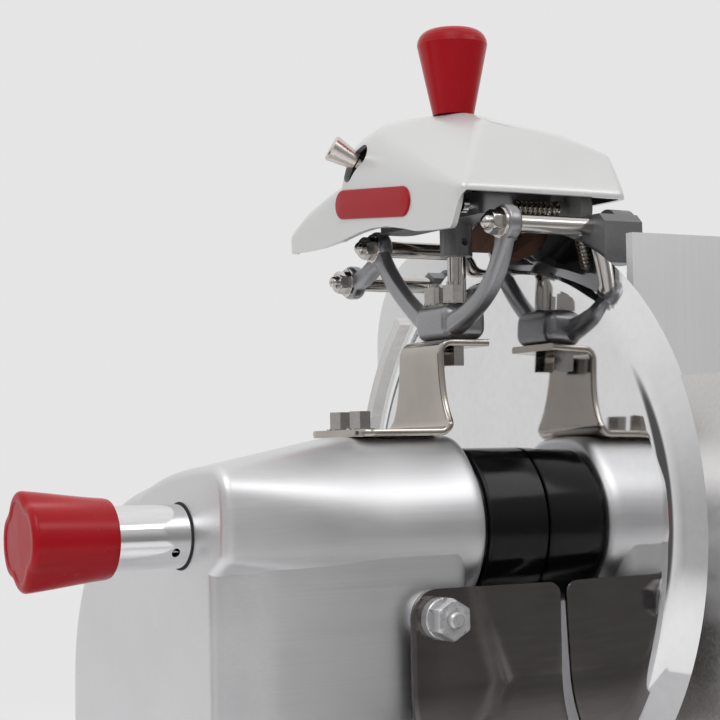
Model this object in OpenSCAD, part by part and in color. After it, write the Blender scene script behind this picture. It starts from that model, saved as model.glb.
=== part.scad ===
/* [Blade] */
// Diameter of the circular blade
blade_d = 300; // [296:1:304]
// Thickness of the blade's flat web
blade_t = 3.2; // [2.5:0.1:4]
// Distance from the flat rear face to the cutting edge, along the axis
edge_x = 12.5; // [11:0.5:14]
// Radial width of the ground bevel
bevel_w = 12; // [9:0.5:15]
// Height of the blade axis above the bench
axis_h = 265; // [255:1:285]

/* [Head] */
// Distance from the blade plane to the end face of the head casting
head_end = 180; // [170:1:195]
// Distance from the blade plane to the collar end of the head casting
collar_len = 38; // [34:1:44]
// Height of the bracket seat above the blade axis
seat_h = 45; // [43:0.5:48]
// Radius of the round front flank
flank_r = 45.5; // [44:0.5:47]
// Depth of the recessed lower front wall in front of the axis
wall_y = 36; // [34:0.5:38]
// Radius of the round back of the casting
back_r = 99; // [94:1:104]
// Wall thickness of the castings
wall = 8; // [6:0.5:10]

/* [Side knob] */
// Across the lobes of the red side knob at its face
knob_d = 49; // [44:1:54]
// Across the lobes at the inner end
knob_neck_d = 38; // [34:1:42]
// Length of the red side knob
knob_len = 42; // [36:1:48]
// Outer diameter of the chrome sleeve
sleeve_d = 30; // [26:1:34]
// Exposed length of the chrome sleeve
sleeve_len = 37; // [30:1:44]
// Diameter of the tie rod
tie_d = 14; // [12:0.5:15]

/* [Drive] */
// Outer diameter of the hollow blade shaft
shaft_d = 30; // [26:1:32]
// Outer diameter of the shaft bearings
bearing_d = 52; // [48:1:56]
// Width of the shaft bearings
bearing_w = 15; // [12:1:16]
// Pitch radius of the driven pulley
driven_r = 28; // [25:1:29]
// Pitch radius of the motor pulley
drive_r = 18; // [16:1:22]
// Width of the belt
belt_w = 14; // [10:1:16]
// Diameter of the motor
motor_d = 104; // [90:2:110]
// Length of the motor
motor_len = 50; // [40:1:54]

/* [Sharpener] */
// Thickness of the bent bracket plate
bracket_t = 3; // [2.5:0.5:4]
// Height of the bracket's upright
bracket_h = 48; // [44:1:54]
// Distance from the cutting edge to the guide rods' centres
rod_gap = 8.5; // [8:0.5:11]
// Diameter of the guide rods
rod_d = 9; // [8:0.5:9.5]
// Width of the fork's arms
arm_w = 8.5; // [7.5:0.5:10]
// Diameter of the upright post
post_d = 9.5; // [8:0.5:10]
// Height of the cover's top above the blade axis
cover_top = 208; // [204:1:214]
// Height of the cover's rim above the blade axis
cover_rim = 160; // [159:0.5:163]
// Wall of the sharpener cover
cover_t = 3; // [2:0.5:4]
// Coils of the return spring
spring_coils = 10; // [8:1:12]
// Outer diameter of the return spring
spring_d = 7.6; // [7.2:0.1:8.4]
// Wire of the return spring
spring_wire = 0.9; // [0.8:0.1:1]

/* [Carriage] */
// Width of the carriage table along the blade axis
table_w = 230; // [200:5:260]
// Length of the carriage table along its stroke
table_l = 280; // [265:5:300]
// Thickness of the carriage table
table_t = 6; // [5:0.5:8]
// Depth of the table below the blade axis
table_drop = 110; // [106:1:114]
// Height of the carriage wall's top above the blade axis
wall_top = 141; // [130:1:150]
// Thickness of the carriage wall
wall_t = 5; // [4:0.5:6]
// Diameter of the carriage rail
rail_d = 16; // [14:1:20]
// Diameter of the press rod
press_rod_d = 16; // [14:1:18]
// Thickness of the product press plate
press_t = 8; // [6:0.5:10]

/* [Base] */
// Width of the base
base_w = 340; // [320:5:350]
// Depth of the base
base_l = 456; // [446:2:466]
// Clearance between the blade and the top of the base
blade_clear = 20; // [16:1:26]
// Height of the rubber feet
foot_h = 18; // [14:1:22]
// Corner radius of the base
base_r = 34; // [24:1:40]

/* [Gauge] */
// Thickness of the gauge plate
gauge_t = 5; // [4:0.5:6]
// Length of the gauge plate
gauge_l = 146.5; // [130:0.5:152]
// Travel of the gauge plate
gauge_travel = 14; // [10:1:16]
// Diameter of the thickness knob
thick_knob_d = 52; // [44:1:60]

/* [Controls] */
// Diameter of the push buttons
button_d = 22; // [18:1:24]
// Travel of the push buttons
button_travel = 4; // [3:0.5:5]
// Bore of the cable gland
gland_bore = 9; // [7:0.5:11]

/* [Hidden] */
$fn = 64;

// Clearances: running fit, seat between still pieces, and air between neighbours
run_gap = 0.05;
seat_gap = 0.05;
air = 0.4;

// Blade profile, radius against distance along the axis
blade_r = blade_d / 2;
shoulder_r = blade_r - bevel_w;
flat_r = shoulder_r - 8;
shoulder_x = edge_x * 0.32;

// Plane heights, measured from the blade axis
bench_z = -axis_h;
base_z0 = bench_z + foot_h;
base_h = axis_h - foot_h - blade_r - blade_clear;
base_mid = base_z0 + base_h / 2;
base_top = base_z0 + base_h;
table_top = -table_drop;
table_z0 = table_top - table_t;

// Hub and shaft along the axis
hub_t = 10;
hub_r = 33;
spigot_r = 20;
collar_bore = hub_r + 3;
front_bearing_x = -(collar_len + 8 + bearing_w);
rear_bearing_x = -(head_end - wall - 4);
shaft_x0 = rear_bearing_x - 2;
shaft_bore = tie_d + 2;
pulley_x = -131;
pulley_w = belt_w + 6;
flange_h = 3;
belt_t = 4;

// Motor behind and below the axis
motor_y = 60;
motor_z = -84;
motor_x0 = pulley_x + pulley_w + 6;
motor_shaft_d = 14;

// Round back of the casting
back_y = 44;
back_z = -78;

// Side knob
knob_x1 = -(head_end + sleeve_len);
knob_x0 = knob_x1 - knob_len;

// Bracket and fork
bracket_x = -45;
bracket_foot_l = 52;
bracket_half = 28;
bracket_neck = 19;
bracket_top_l = 27;
bracket_z1 = seat_h + bracket_h;
bracket_bolt_x = bracket_x - bracket_foot_l + 9;
bracket_bolt_y = 10;
fork_x0 = -41.5;
fork_x1 = -16.5;
fork_mid = (fork_x0 + fork_x1) / 2;
fork_half = 16.5;
fork_h = 18.5;
fork_z1 = bracket_z1 + fork_h;
fork_bolt_x = fork_x0 + 8.5;
fork_bolt_y = 9;
boss_r = 9;
boss_l = 8;
arm_t = 5.5;
fork_arm_x = fork_x0 + 4;
// Guide rod angles round the axis: rear, low rear and front
rod_circle_r = blade_r + rod_gap;
rod_angles = [67, 55.2, 112.6];
rod_x1 = [34, 34, 24];
function rod_y(i) = rod_circle_r * cos(rod_angles[i]);
function rod_z(i) = rod_circle_r * sin(rod_angles[i]);
nut_x = fork_arm_x - 1.5;
nut_h = 6;
nut_af = rod_d + 2;
nut_dome_r = 3.8;

// Post, carrier and cover
post_x = fork_x1 - 8;
post_y = 0;
post_boss_z0 = 136;
carrier_z0 = 152;
carrier_t = 11;
carrier_z1 = carrier_z0 + carrier_t;
cover_x0 = -59;
cover_x1 = 41;
cover_y0 = -60;
cover_y1 = 62;
beak_y = 120;
beak_z0 = 147;
beak_lift = cover_rim + 4 - beak_z0;

// Stones and their spindles
grind_y = 14;
grind_z = 158;
grind_r = 17.5;
grind_t = 8;
grind_x = -4;
grind_pin_d = 6;
deburr_y = -40;
deburr_z = 157;
deburr_r = 14;
deburr_t = 7;
deburr_x = edge_x + 2.4;
deburr_pin_d = 4;
lug_x0 = -41;
lug_x1 = -21;
collar_x = 9;
collar_w = 4;

// Carriage
carriage_x0 = 20;
carriage_x1 = carriage_x0 + table_w;
wall_y1 = -83;
wall_y0 = wall_y1 - wall_t;
table_y0 = wall_y0;
table_y1 = table_y0 + table_l;
rail_x = 96;
rail_z = base_mid - 4.5;
leg_w = 22;
leg_l = 60;
leg_y = 60;
carriage_stroke = base_l - leg_l - 126;
press_x0 = 39;
press_y = wall_y1 + 20;
press_z = 60;
press_lobe_r = 55;
press_lobe_y = table_y1 - press_lobe_r;
press_lobe_z = 100;
press_sleeve_l = 60;
sleeve_wall = 5;
press_support_w = 8;

// Base
base_x0 = -200;
base_x1 = base_x0 + base_w;
base_y1 = 176;
base_y0 = base_y1 - base_l;
base_wall = 6;
plate_t = 3;

// Gauge plate and its screw
gauge_x1 = edge_x;
gauge_x0 = gauge_x1 - gauge_t;
gauge_gap = 4;
gauge_y1 = -(blade_r + gauge_gap);
gauge_y0 = gauge_y1 - gauge_l;
gauge_top = 70;
screw_y = base_y0 + 50;
screw_z = base_mid + 1.5;
screw_d = 12;
guide_y = screw_y + 34;
guide_d = 14;
gauge_arm_w = 20;
arm_x0 = -26;

// Controls on the front of the base
button_x = [-130, -90];
button_z = base_mid + 1.5;
button_out = 9;
panel_t = 3;
panel_w = 90;
panel_rim = 11;
panel_h = button_d + 2 * panel_rim;
gland_x = -150;
gland_z = base_mid - 2.5;
gland_d = 24;

// Place of the blade axis, so that the origin lies under the middle of the whole machine
axis_x = -(knob_x0 + carriage_x1) / 2;
axis_y = -(gauge_y0 + table_y1) / 2;

module at_axis() { translate([axis_x, axis_y, axis_h]) children(); }
// Extrudes a profile drawn in Y and Z from x0, by length l along X
module along_x(x0, l) { translate([x0, 0, 0]) rotate([90, 0, 90]) linear_extrude(l) children(); }
module rod_x(x0, l, d, y = 0, z = 0) {
  translate([x0, y, z]) rotate([0, 90, 0]) cylinder(h = l, d = d);
}
module rod_along_y(x, y0, z, l, d) { translate([x, y0, z]) rotate([-90, 0, 0]) cylinder(h = l, d = d); }
module round_rect(w, l, r) {
  translate([r, 0]) square([w - 2 * r, l]);
  translate([0, r]) square([w, l - 2 * r]);
  for (x = [r, w - r], y = [r, l - r]) translate([x, y]) circle(r);
}
module hex(af, h) { cylinder(h = h, d = af / cos(30), $fn = 6); }
// Sector of a ring between two angles, for spans under 180 degrees
module arc_band(r0, r1, a0, a1) {
  reach = 2 * r1;
  intersection() {
    difference() { circle(r1); circle(r0); }
    polygon([[0, 0], reach * [cos(a0), sin(a0)], reach * [cos((a0 + a1) / 2), sin((a0 + a1) / 2)],
      reach * [cos(a1), sin(a1)]]);
  }
}

// Base, feet and what is fastened to it
module base_outline(inset) {
  translate([base_x0 + inset, base_y0 + inset])
    round_rect(base_w - 2 * inset, base_l - 2 * inset, base_r - inset);
}
foot_inset = 50;
foot_d = 40;
foot_xy = [for (x = [base_x0 + foot_inset, base_x1 - foot_inset],
  y = [base_y0 + foot_inset, base_y1 - foot_inset])
  [x, y]];
screw_inset = 22;
bottom_screw_d = 5;
post_r = 8;
bottom_xy = [for (x = [base_x0 + screw_inset, base_x1 - screw_inset],
  y = [base_y0 + 104, base_y1 - 70]) [x, y]];
edge_r = 10;
slot_x0 = rail_x - leg_w / 2 - 2;
slot_y0 = leg_y - leg_l / 2 - carriage_stroke - 4;
slot_y1 = leg_y + leg_l / 2 + 4;
gauge_slot_x0 = arm_x0 - gauge_travel - 2;
gauge_block_w = 20;
gauge_block_y0 = screw_y - 14;
gauge_block_y1 = guide_y + 14;
guide_x1 = 44;

module base_casting() color("silver") at_axis() {
  difference() {
    hull() for (x = [base_x0 + base_r, base_x1 - base_r], y = [base_y0 + base_r, base_y1 - base_r])
      translate([x, y, base_z0]) {
        cylinder(h = base_h - edge_r, r = base_r, $fn = 48);
        translate([0, 0, base_h - edge_r]) rotate_extrude($fn = 48)
          translate([base_r - edge_r, 0]) circle(edge_r, $fn = 32);
      }
    difference() {
      translate([0, 0, base_z0 - 1]) linear_extrude(base_h - base_wall + 1) base_outline(base_wall);
      for (p = bottom_xy) translate([p[0], p[1], base_z0 + plate_t])
        cylinder(h = base_h, r = post_r);
      translate([guide_x1, gauge_block_y0, base_z0 + 20])
        cube([base_wall, gauge_block_y1 - gauge_block_y0, base_h]);
    }
    for (p = bottom_xy) translate([p[0], p[1], base_z0])
      cylinder(h = 16, d = bottom_screw_d + 2 * seat_gap);
    translate([slot_x0, slot_y0, base_top - 2 * base_wall])
      cube([leg_w + 4, slot_y1 - slot_y0, 3 * base_wall]);
    translate([gauge_slot_x0, gauge_block_y0 - 2, base_top - 2 * base_wall])
      cube([gauge_travel + gauge_block_w + 4, gauge_block_y1 - gauge_block_y0 + 4, 3 * base_wall]);
    rod_x(base_x0 - 1, base_wall + 2, screw_d + 2 * run_gap, screw_y, screw_z);
    for (x = button_x) rod_along_y(x, base_y0 - 1, button_z, base_wall + 2, button_d + 2);
    rod_along_y(gland_x, base_y1 - base_wall - 1, gland_z, base_wall + 2, gland_d - 6 + 2 * seat_gap);
  }
}

module bottom_plate() color("gray") at_axis()
  difference() {
    translate([0, 0, base_z0]) linear_extrude(plate_t) base_outline(base_wall + air);
    for (p = bottom_xy) translate([p[0], p[1], base_z0 - 1])
      cylinder(h = plate_t + 2, d = bottom_screw_d + 0.6);
  }

module rubber_feet() color("#222222") at_axis()
  for (p = foot_xy) translate([p[0], p[1], bench_z]) rotate_extrude()
    polygon([[0, 0], [foot_d / 2 - 4, 0], [foot_d / 2 - 2, 2], [foot_d / 2, foot_h], [0, foot_h]]);

module bottom_screws() color("lightgray") at_axis()
  for (p = bottom_xy) translate([p[0], p[1], base_z0]) {
    translate([0, 0, -3]) cylinder(h = 3, d = 2 * bottom_screw_d);
    translate([0, 0, -1]) cylinder(h = 15, d = bottom_screw_d);
  }

// Head casting: a round front flank that falls away to the end face, on a pedestal with a round back
cap_r = 10;
ped_x1 = motor_x0 + motor_len + 1 + wall;
tunnel_bore = driven_r + flange_h + 2;
shoulder_l = 8;
collar_r = flank_r - 2.5;
collar_top = seat_h - 6;
module collar_profile(r, top) {
  corner = 10;
  circle(r);
  square([2 * (bracket_half - corner), 2 * top], center = true);
  intersection() {
    square([2 * bracket_half, 2 * top], center = true);
    for (s = [-1, 1]) translate([s * (bracket_half - corner), top - corner]) circle(corner);
  }
}
module tunnel() {
  hull() {
    for (p = [[-flank_r + cap_r, 21], [12, 19], [44, 11], [-21, -20], [30, -40]])
      translate([-head_end + cap_r, p[0], p[1]]) sphere(cap_r, $fn = 32);
    along_x(-95, 95 - collar_len - shoulder_l) collar_profile(flank_r, seat_h, $fn = 64);
    along_x(-collar_len - shoulder_l, shoulder_l) collar_profile(collar_r, collar_top, $fn = 64);
  }
}
module pedestal() {
  e = 9;
  hull() {
    for (x = [-head_end + e, ped_x1 - e]) {
      for (a = [-6 : 12 : 102])
        translate([x, back_y + (back_r - e) * cos(a), back_z + (back_r - e) * sin(a)])
        sphere(e, $fn = 32);
      translate([x, -wall_y + e, 0]) sphere(e, $fn = 32);
      for (y = [-wall_y + e, back_y + back_r - e]) translate([x, y, base_top])
        cylinder(h = 60, r = e, $fn = 32);
    }
  }
}
module head_cavity() {
  in_x0 = -(head_end - wall);
  in_x1 = ped_x1 - wall;
  difference() {
    along_x(in_x0, in_x1 - in_x0) translate([-wall_y + wall, base_top + wall]) {
      intersection() {
        translate([back_y + wall_y - wall, back_z - base_top - wall]) circle(back_r - wall);
        square(3 * back_r);
      }
      square([back_y + back_r + wall_y - 2 * wall, back_z - base_top - wall]);
    }
    for (x = [[in_x0, rear_bearing_x + bearing_w], [front_bearing_x, in_x1]])
      rod_x(x[0] - 1, x[1] - x[0] + 2, bearing_d + 2 * wall);
  }
  rod_x(in_x0, -(collar_len + 8) - in_x0, bearing_d + 2 * seat_gap);
  rod_x(rear_bearing_x + bearing_w + 1, front_bearing_x - rear_bearing_x - bearing_w - 2,
    2 * tunnel_bore);
}
module head_casting() color("silver") at_axis()
  difference() {
    union() { tunnel(); pedestal(); }
    head_cavity();
    rod_x(-head_end - 1, wall + 2, sleeve_d + 2 * seat_gap);
    rod_x(-collar_len - 10, 12, shaft_d + 4);
    for (s = [-1, 1]) translate([bracket_bolt_x, s * bracket_bolt_y, seat_h - 12])
      cylinder(h = 20, d = 6 + 2 * seat_gap);
    rod_along_y(clamp_x, -wall_y - 12, clamp_z, 20, stud_d + 2 * seat_gap);
    translate([0, 0, seat_h]) linear_extrude(50) square(1000, center = true);
    translate([0, 0, base_top - 50]) linear_extrude(50) square(1000, center = true);
  }

collar_air = 0.6;
module hub_collar() color("#151515") at_axis()
  difference() {
    union() {
      along_x(-collar_len, 17) collar_profile(collar_r, collar_top);
      along_x(-collar_len + 17, 2) collar_profile(collar_r - 1.5, collar_top - 1.5);
      along_x(-collar_len + 19, collar_len - 19 - collar_air) collar_profile(collar_r, collar_top);
    }
    rod_x(-collar_len - 1, collar_len + 2, 2 * collar_bore);
  }

module shaft_bearings() color("lightgray") at_axis()
  for (x = [rear_bearing_x, front_bearing_x]) along_x(x, bearing_w) difference() {
    circle(d = bearing_d);
    circle(d = shaft_d + 2 * run_gap);
  }

// Drive
module motor() color("dimgray") at_axis()
  difference() {
    union() {
      rod_x(motor_x0, motor_len, motor_d, motor_y, motor_z);
      rod_x(motor_x0 - 3, 4, 40, motor_y, motor_z);
    }
    rod_x(motor_x0 - 4, motor_len - 6, motor_shaft_d + 2 * run_gap, motor_y, motor_z);
    for (a = [0 : 15 : 345]) translate([motor_x0 + 6, motor_y, motor_z]) rotate([a, 0, 0])
      translate([0, motor_d / 2 - 3, -1.5]) cube([motor_len - 12, 6, 3]);
  }
cradle_w = 52;
module motor_bracket() color("gray") at_axis()
  difference() {
    translate([motor_x0 + 8, motor_y - cradle_w / 2, base_top + wall])
      cube([motor_len - 16, cradle_w, motor_z - base_top - wall]);
    rod_x(motor_x0, motor_len, motor_d + 2 * seat_gap, motor_y, motor_z);
    translate([0, 0, motor_z - 22]) linear_extrude(100) square(1000, center = true);
  }
module motor_shaft() color("lightgray") at_axis()
  rod_x(pulley_x - 2, motor_x0 + motor_len - 12 - pulley_x, motor_shaft_d, motor_y, motor_z);
module pulley(r, bore) {
  difference() {
    union() {
      cylinder(h = pulley_w, r = r - belt_t / 2);
      for (z = [0, pulley_w - 2]) translate([0, 0, z]) cylinder(h = 2, r = r + flange_h);
    }
    translate([0, 0, -1]) cylinder(h = pulley_w + 2, d = bore);
  }
}
module driven_pulley() color("lightgray") at_axis() translate([pulley_x, 0, 0]) rotate([0, 90, 0])
  pulley(driven_r, shaft_d + 2 * seat_gap);
module motor_pulley() color("lightgray") at_axis() translate([pulley_x, motor_y, motor_z])
  rotate([0, 90, 0])
  pulley(drive_r, motor_shaft_d + 2 * seat_gap);
function arc_points(c, r, a0, a1, n) = [for (i = [0 : n]) let (a = a0 + (a1 - a0) * i / n)
  c + r * [cos(a), sin(a)]];
// Outline of a belt round two pulleys: an arc on each, joined by their outer tangents
module belt_outline(off) {
  span = norm([motor_y, motor_z]);
  line = atan2(motor_z, motor_y);
  lean = acos((driven_r - drive_r) / span);
  polygon(concat(arc_points([0, 0], driven_r + off, line + lean, line + 360 - lean, 40),
    arc_points([motor_y, motor_z], drive_r + off, line - lean, line + lean, 24)));
}
module drive_belt() color("#202020") at_axis()
  along_x(pulley_x + (pulley_w - belt_w) / 2, belt_w) difference() {
    belt_outline(belt_t / 2 + air / 2);
    belt_outline(-belt_t / 2 + air / 2);
  }
module blade_shaft() color("gainsboro") at_axis()
  along_x(shaft_x0, -hub_t - shaft_x0) difference() {
    circle(d = shaft_d);
    circle(d = shaft_bore);
  }

// Blade, its hub and its cover
screw_ring = 27.5;
blade_screw_d = 6;
sink = 2.6;
screw_angles = [45 : 90 : 315];
module blade_screw(gap) {
  rotate([0, 90, 0]) {
    translate([0, 0, blade_t - sink])
      cylinder(h = sink, d1 = blade_screw_d + 2 * gap, d2 = 2 * blade_screw_d + 2 * gap);
    translate([0, 0, -hub_t + 2 - gap]) cylinder(h = hub_t + 1, d = blade_screw_d + 2 * gap);
  }
}
module blade_screw_set(gap) {
  for (a = screw_angles) rotate([a, 0, 0]) translate([0, screw_ring, 0]) blade_screw(gap);
}
module blade() color("whitesmoke") at_axis()
  difference() {
    rotate([0, 90, 0]) rotate_extrude($fn = 160) polygon([
      [spigot_r + seat_gap, 0], [flat_r, 0], [flat_r + 3, 0.5], [flat_r + 6, 2],
        [shoulder_r, shoulder_x],
      [blade_r, edge_x], [blade_r - 1, edge_x + 0.4], [blade_r - 7, edge_x - 0.6],
        [shoulder_r, edge_x - 3],
      [flat_r + 3, blade_t + 1.6], [flat_r - 2, blade_t], [spigot_r + seat_gap, blade_t]]);
    blade_screw_set(seat_gap);
  }
module blade_hub() color("silver") at_axis()
  difference() {
    union() {
      rod_x(-hub_t, hub_t, 2 * hub_r);
      rod_x(-1, blade_t + 1, 2 * spigot_r);
    }
    rod_x(-hub_t - 1, hub_t + blade_t + 2, shaft_bore);
    blade_screw_set(seat_gap);
  }
module blade_screws() color("lightgray") at_axis() blade_screw_set(0);
cover_plate_r = 118;
cover_plate_x = blade_t + 1.5;
tie_end_d = 10;
tie_end_x = 15;
module blade_cover() color("gainsboro") at_axis()
  rotate([0, 90, 0]) rotate_extrude($fn = 120) polygon([
    [tie_end_d / 2 + run_gap, cover_plate_x], [cover_plate_r, cover_plate_x],
      [cover_plate_r, cover_plate_x + 2],
    [cover_plate_r - 8, cover_plate_x + 4.5], [40, cover_plate_x + 3], [18, cover_plate_x + 4],
      [16, tie_end_x + 1],
    [tie_end_d / 2 + run_gap, tie_end_x + 1]]);
module tie_rod() color("gainsboro") at_axis() {
  rod_x(knob_x0 + 14, cover_plate_x - 1 - knob_x0 - 14, tie_d);
  rod_x(cover_plate_x - 2, tie_end_x + 2 - cover_plate_x, tie_end_d);
}
pin_hole_d = 4;
module knob_sleeve() color("gainsboro") at_axis()
  difference() {
    rod_x(knob_x1 + air, sleeve_len + wall - air, sleeve_d);
    rod_x(knob_x1, sleeve_len + wall + 1, tie_d + 2 * run_gap);
    rod_along_y(-head_end - 8, -sleeve_d, -7, sleeve_d, pin_hole_d);
  }
// Side knob: a cone that is round at the neck and grows two finger lobes towards its face
lobe_r = 7;
lobe_angle = 80;
knob_round = 3;
module blade_knob() color("#b01c28") at_axis() {
  neck_r = knob_neck_d / 2;
  face_r = knob_d / 2;
  difference() {
    intersection() {
      translate([knob_x1, 0, 0]) rotate([0, -90, 0]) rotate_extrude()
        polygon([[0, 0], [neck_r - 2, 0], [neck_r, 2], [face_r, knob_len - knob_round],
          [face_r - 1, knob_len - 1], [face_r - knob_round, knob_len], [0, knob_len]]);
      along_x(knob_x0 - 1, knob_len + 2) rotate(lobe_angle) {
        circle(face_r - 3.5);
        for (s = [-1, 1]) translate([s * (face_r - lobe_r - 0.3), 0]) circle(lobe_r);
      }
    }
    rod_x(knob_x0 + 14 - seat_gap, knob_len, tie_d + 2 * seat_gap);
  }
}

// Ring guard behind the blade, on a foot on the base
ring_r0 = blade_r + 1.5;
ring_w = 6;
ring_x0 = 4;
ring_t = 7;
ring_a0 = -115;
ring_a1 = 46;
ring_foot_w = 44;
module ring_guard() color("lightgray") at_axis()
  along_x(ring_x0, ring_t) {
    arc_band(ring_r0, ring_r0 + ring_w, ring_a0, (ring_a0 + ring_a1) / 2 + 1);
    arc_band(ring_r0, ring_r0 + ring_w, (ring_a0 + ring_a1) / 2, ring_a1);
    difference() {
      translate([-ring_foot_w / 2, base_top]) square([ring_foot_w, -base_top - ring_r0]);
      circle(ring_r0 + 1);
    }
  }

// Slice deflector, hung from a clamp on the front flank
deflector_t = 2;
deflector_x0 = -86;
deflector_x1 = -1;
deflector_y = -52;
deflector_top = -27;
deflector_end_r = 14;
deflector_flat = 44;
deflector_bend = 62;
clamp_d = 24;
clamp_x = deflector_x0 + deflector_end_r + 1;
clamp_z = deflector_top - deflector_end_r;
stud_d = 8;
module deflector_plate() color("gainsboro") at_axis()
  difference() {
    along_x(deflector_x0, deflector_x1 - deflector_x0) {
      translate([deflector_y, deflector_top - deflector_flat]) square([deflector_t, deflector_flat]);
      translate([deflector_y - deflector_bend, deflector_top - deflector_flat])
        arc_band(deflector_bend, deflector_bend + deflector_t, -58, 0);
    }
    translate([deflector_x0, deflector_y - 1, deflector_top]) rotate([-90, 0, 0]) difference() {
      translate([-1, -1]) cube([deflector_end_r + 1, deflector_end_r + 1, deflector_t + 2]);
      translate([deflector_end_r, deflector_end_r, -1])
        cylinder(h = deflector_t + 4, r = deflector_end_r);
    }
    rod_along_y(clamp_x, deflector_y - 1, clamp_z, deflector_t + 2, stud_d + 2 * seat_gap);
  }
module deflector_clamp() color("silver") at_axis() {
  y0 = deflector_y + deflector_t;
  difference() {
    rod_along_y(clamp_x, y0, clamp_z, -wall_y - y0, clamp_d);
    rod_along_y(clamp_x, y0 - 1, clamp_z, 40, stud_d + 2 * seat_gap);
  }
}
module deflector_nut() color("lightgray") at_axis() {
  rod_along_y(clamp_x, deflector_y - 17, clamp_z, -wall_y - deflector_y + 21, stud_d);
  translate([clamp_x, deflector_y, clamp_z])
    rotate([90, 0, 0]) { cylinder(h = 5, d = 20); hex(17, 13); }
}

// Sharpener: bent bracket, fork with three guide rods, post and carrier
module sharpener_bracket() color("#d8cfc4") at_axis()
  difference() {
    union() {
      translate([bracket_x - bracket_foot_l, -bracket_half, seat_h]) linear_extrude(bracket_t) {
        translate([0, 8]) square([bracket_foot_l, 2 * bracket_half - 16]);
        translate([8, 0]) square([bracket_foot_l - 8, 2 * bracket_half]);
        for (y = [8, 2 * bracket_half - 8]) translate([8, y]) circle(8);
      }
      along_x(bracket_x - bracket_t, bracket_t) {
        polygon([[-bracket_half, seat_h], [bracket_half, seat_h], [bracket_half, seat_h + 4],
          [bracket_neck, bracket_z1], [-bracket_neck, bracket_z1], [-bracket_half, seat_h + 4]]);
      }
      translate([bracket_x - bracket_t, -bracket_neck, bracket_z1 - bracket_t])
        cube([bracket_top_l + bracket_t, 2 * bracket_neck, bracket_t]);
    }
    for (s = [-1, 1]) {
      translate([bracket_bolt_x, s * bracket_bolt_y, seat_h - 1])
        cylinder(h = bracket_t + 2, d = 6 + 2 * seat_gap);
      translate([fork_bolt_x, s * fork_bolt_y, bracket_z1 - bracket_t - 1])
        cylinder(h = bracket_t + 2, d = 6 + 2 * seat_gap);
    }
  }
module hex_bolts() color("gainsboro") at_axis() {
  for (s = [-1, 1]) {
    translate([bracket_bolt_x, s * bracket_bolt_y, seat_h + bracket_t]) {
      cylinder(h = 1.2, d = 14);
      hex(10, 9.5);
      translate([0, 0, -bracket_t - 10]) cylinder(h = 12 + bracket_t, d = 6);
    }
    translate([fork_bolt_x, s * fork_bolt_y, bracket_z1 - bracket_t]) {
      translate([0, 0, -10]) hex(10, 10);
      cylinder(h = bracket_t + fork_h + 11, d = 6);
      translate([0, 0, bracket_t + fork_h]) { cylinder(h = 1, d = 9.8); hex(9.5, 9); }
    }
  }
}
// Points of a curve that leaves p0 towards p1 and ends at p2
function bend(p0, p1, p2) = [for (t = [0 : 0.1 : 1])
  (1 - t) * (1 - t) * p0 + 2 * t * (1 - t) * p1 + t * t * p2];
function side(p, i) = let (d = p[min(i + 1, len(p) - 1)] - p[max(i - 1, 0)]) [-d[1], d[0]] / norm(d);
// Strip of width w that follows the points
module strip(p, w) {
  last = len(p) - 1;
  polygon([for (i = [0 : last]) p[i] + w / 2 * side(p, i),
    for (i = [last : -1 : 0]) p[i] - w / 2 * side(p, i)]);
}
rear_arm = bend([rod_y(0), rod_z(0)], [38, bracket_z1 + 23], [fork_half - 4, bracket_z1 + 10]);
front_arm = bend([rod_y(2), rod_z(2)], [-56.6, bracket_z1 + 17.6], [4 - fork_half, bracket_z1 + 8]);
module sharpener_fork() color("#a9abac") at_axis()
  difference() {
    union() {
      along_x(fork_x0, fork_x1 - fork_x0) translate([-fork_half, bracket_z1])
        round_rect(2 * fork_half, fork_h, 4);
      along_x(fork_arm_x, arm_t) {
        strip(rear_arm, arm_w);
        strip(front_arm, arm_w);
        strip([rear_arm[2], [rod_y(1), rod_z(1)]], arm_w);
      }
      for (i = [0 : 2]) rod_x(fork_arm_x, boss_l, 2 * boss_r, rod_y(i), rod_z(i));
    }
    for (i = [0 : 2]) rod_x(fork_x0 - 20, 60, rod_d + 2 * seat_gap, rod_y(i), rod_z(i));
    for (s = [-1, 1]) translate([fork_bolt_x, s * fork_bolt_y, bracket_z1 - 1])
      cylinder(h = fork_h + 2, d = 6 + 2 * seat_gap);
  }
module guide_rods() color("gainsboro") at_axis()
  for (i = [0 : 2]) rod_x(nut_x - nut_h + 1, rod_x1[i] - nut_x + nut_h - 1, rod_d, rod_y(i), rod_z(i));
module dome_nuts() color("gainsboro") at_axis()
  for (i = [0 : 2]) translate([nut_x, rod_y(i), rod_z(i)]) rotate([0, -90, 0]) difference() {
    union() {
      translate([0, 0, -1.5]) cylinder(h = 1.5, d = 2 * boss_r - 2.5);
      hex(nut_af, nut_h);
      translate([0, 0, nut_h]) intersection() {
        sphere(nut_dome_r);
        cylinder(h = rod_d, r = nut_dome_r);
      }
    }
    translate([0, 0, -2]) cylinder(h = nut_h + 1, d = rod_d + 2 * seat_gap);
  }
knob_seat_z = cover_top + air;
module sharpener_post() color("gainsboro") at_axis()
  translate([post_x, post_y, fork_z1]) cylinder(h = knob_seat_z + 20 - fork_z1, d = post_d);
module post_boss() color("#4a4b4d") at_axis()
  difference() {
    translate([post_x, post_y, post_boss_z0]) cylinder(h = carrier_z0 - post_boss_z0, d = post_d + 7);
    translate([post_x, post_y, post_boss_z0 - 1]) cylinder(h = 40, d = post_d + 2 * seat_gap);
    rod_along_y(post_x, -20, post_boss_z0 + 7, 20, 4);
  }
carrier_half = 52;
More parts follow.
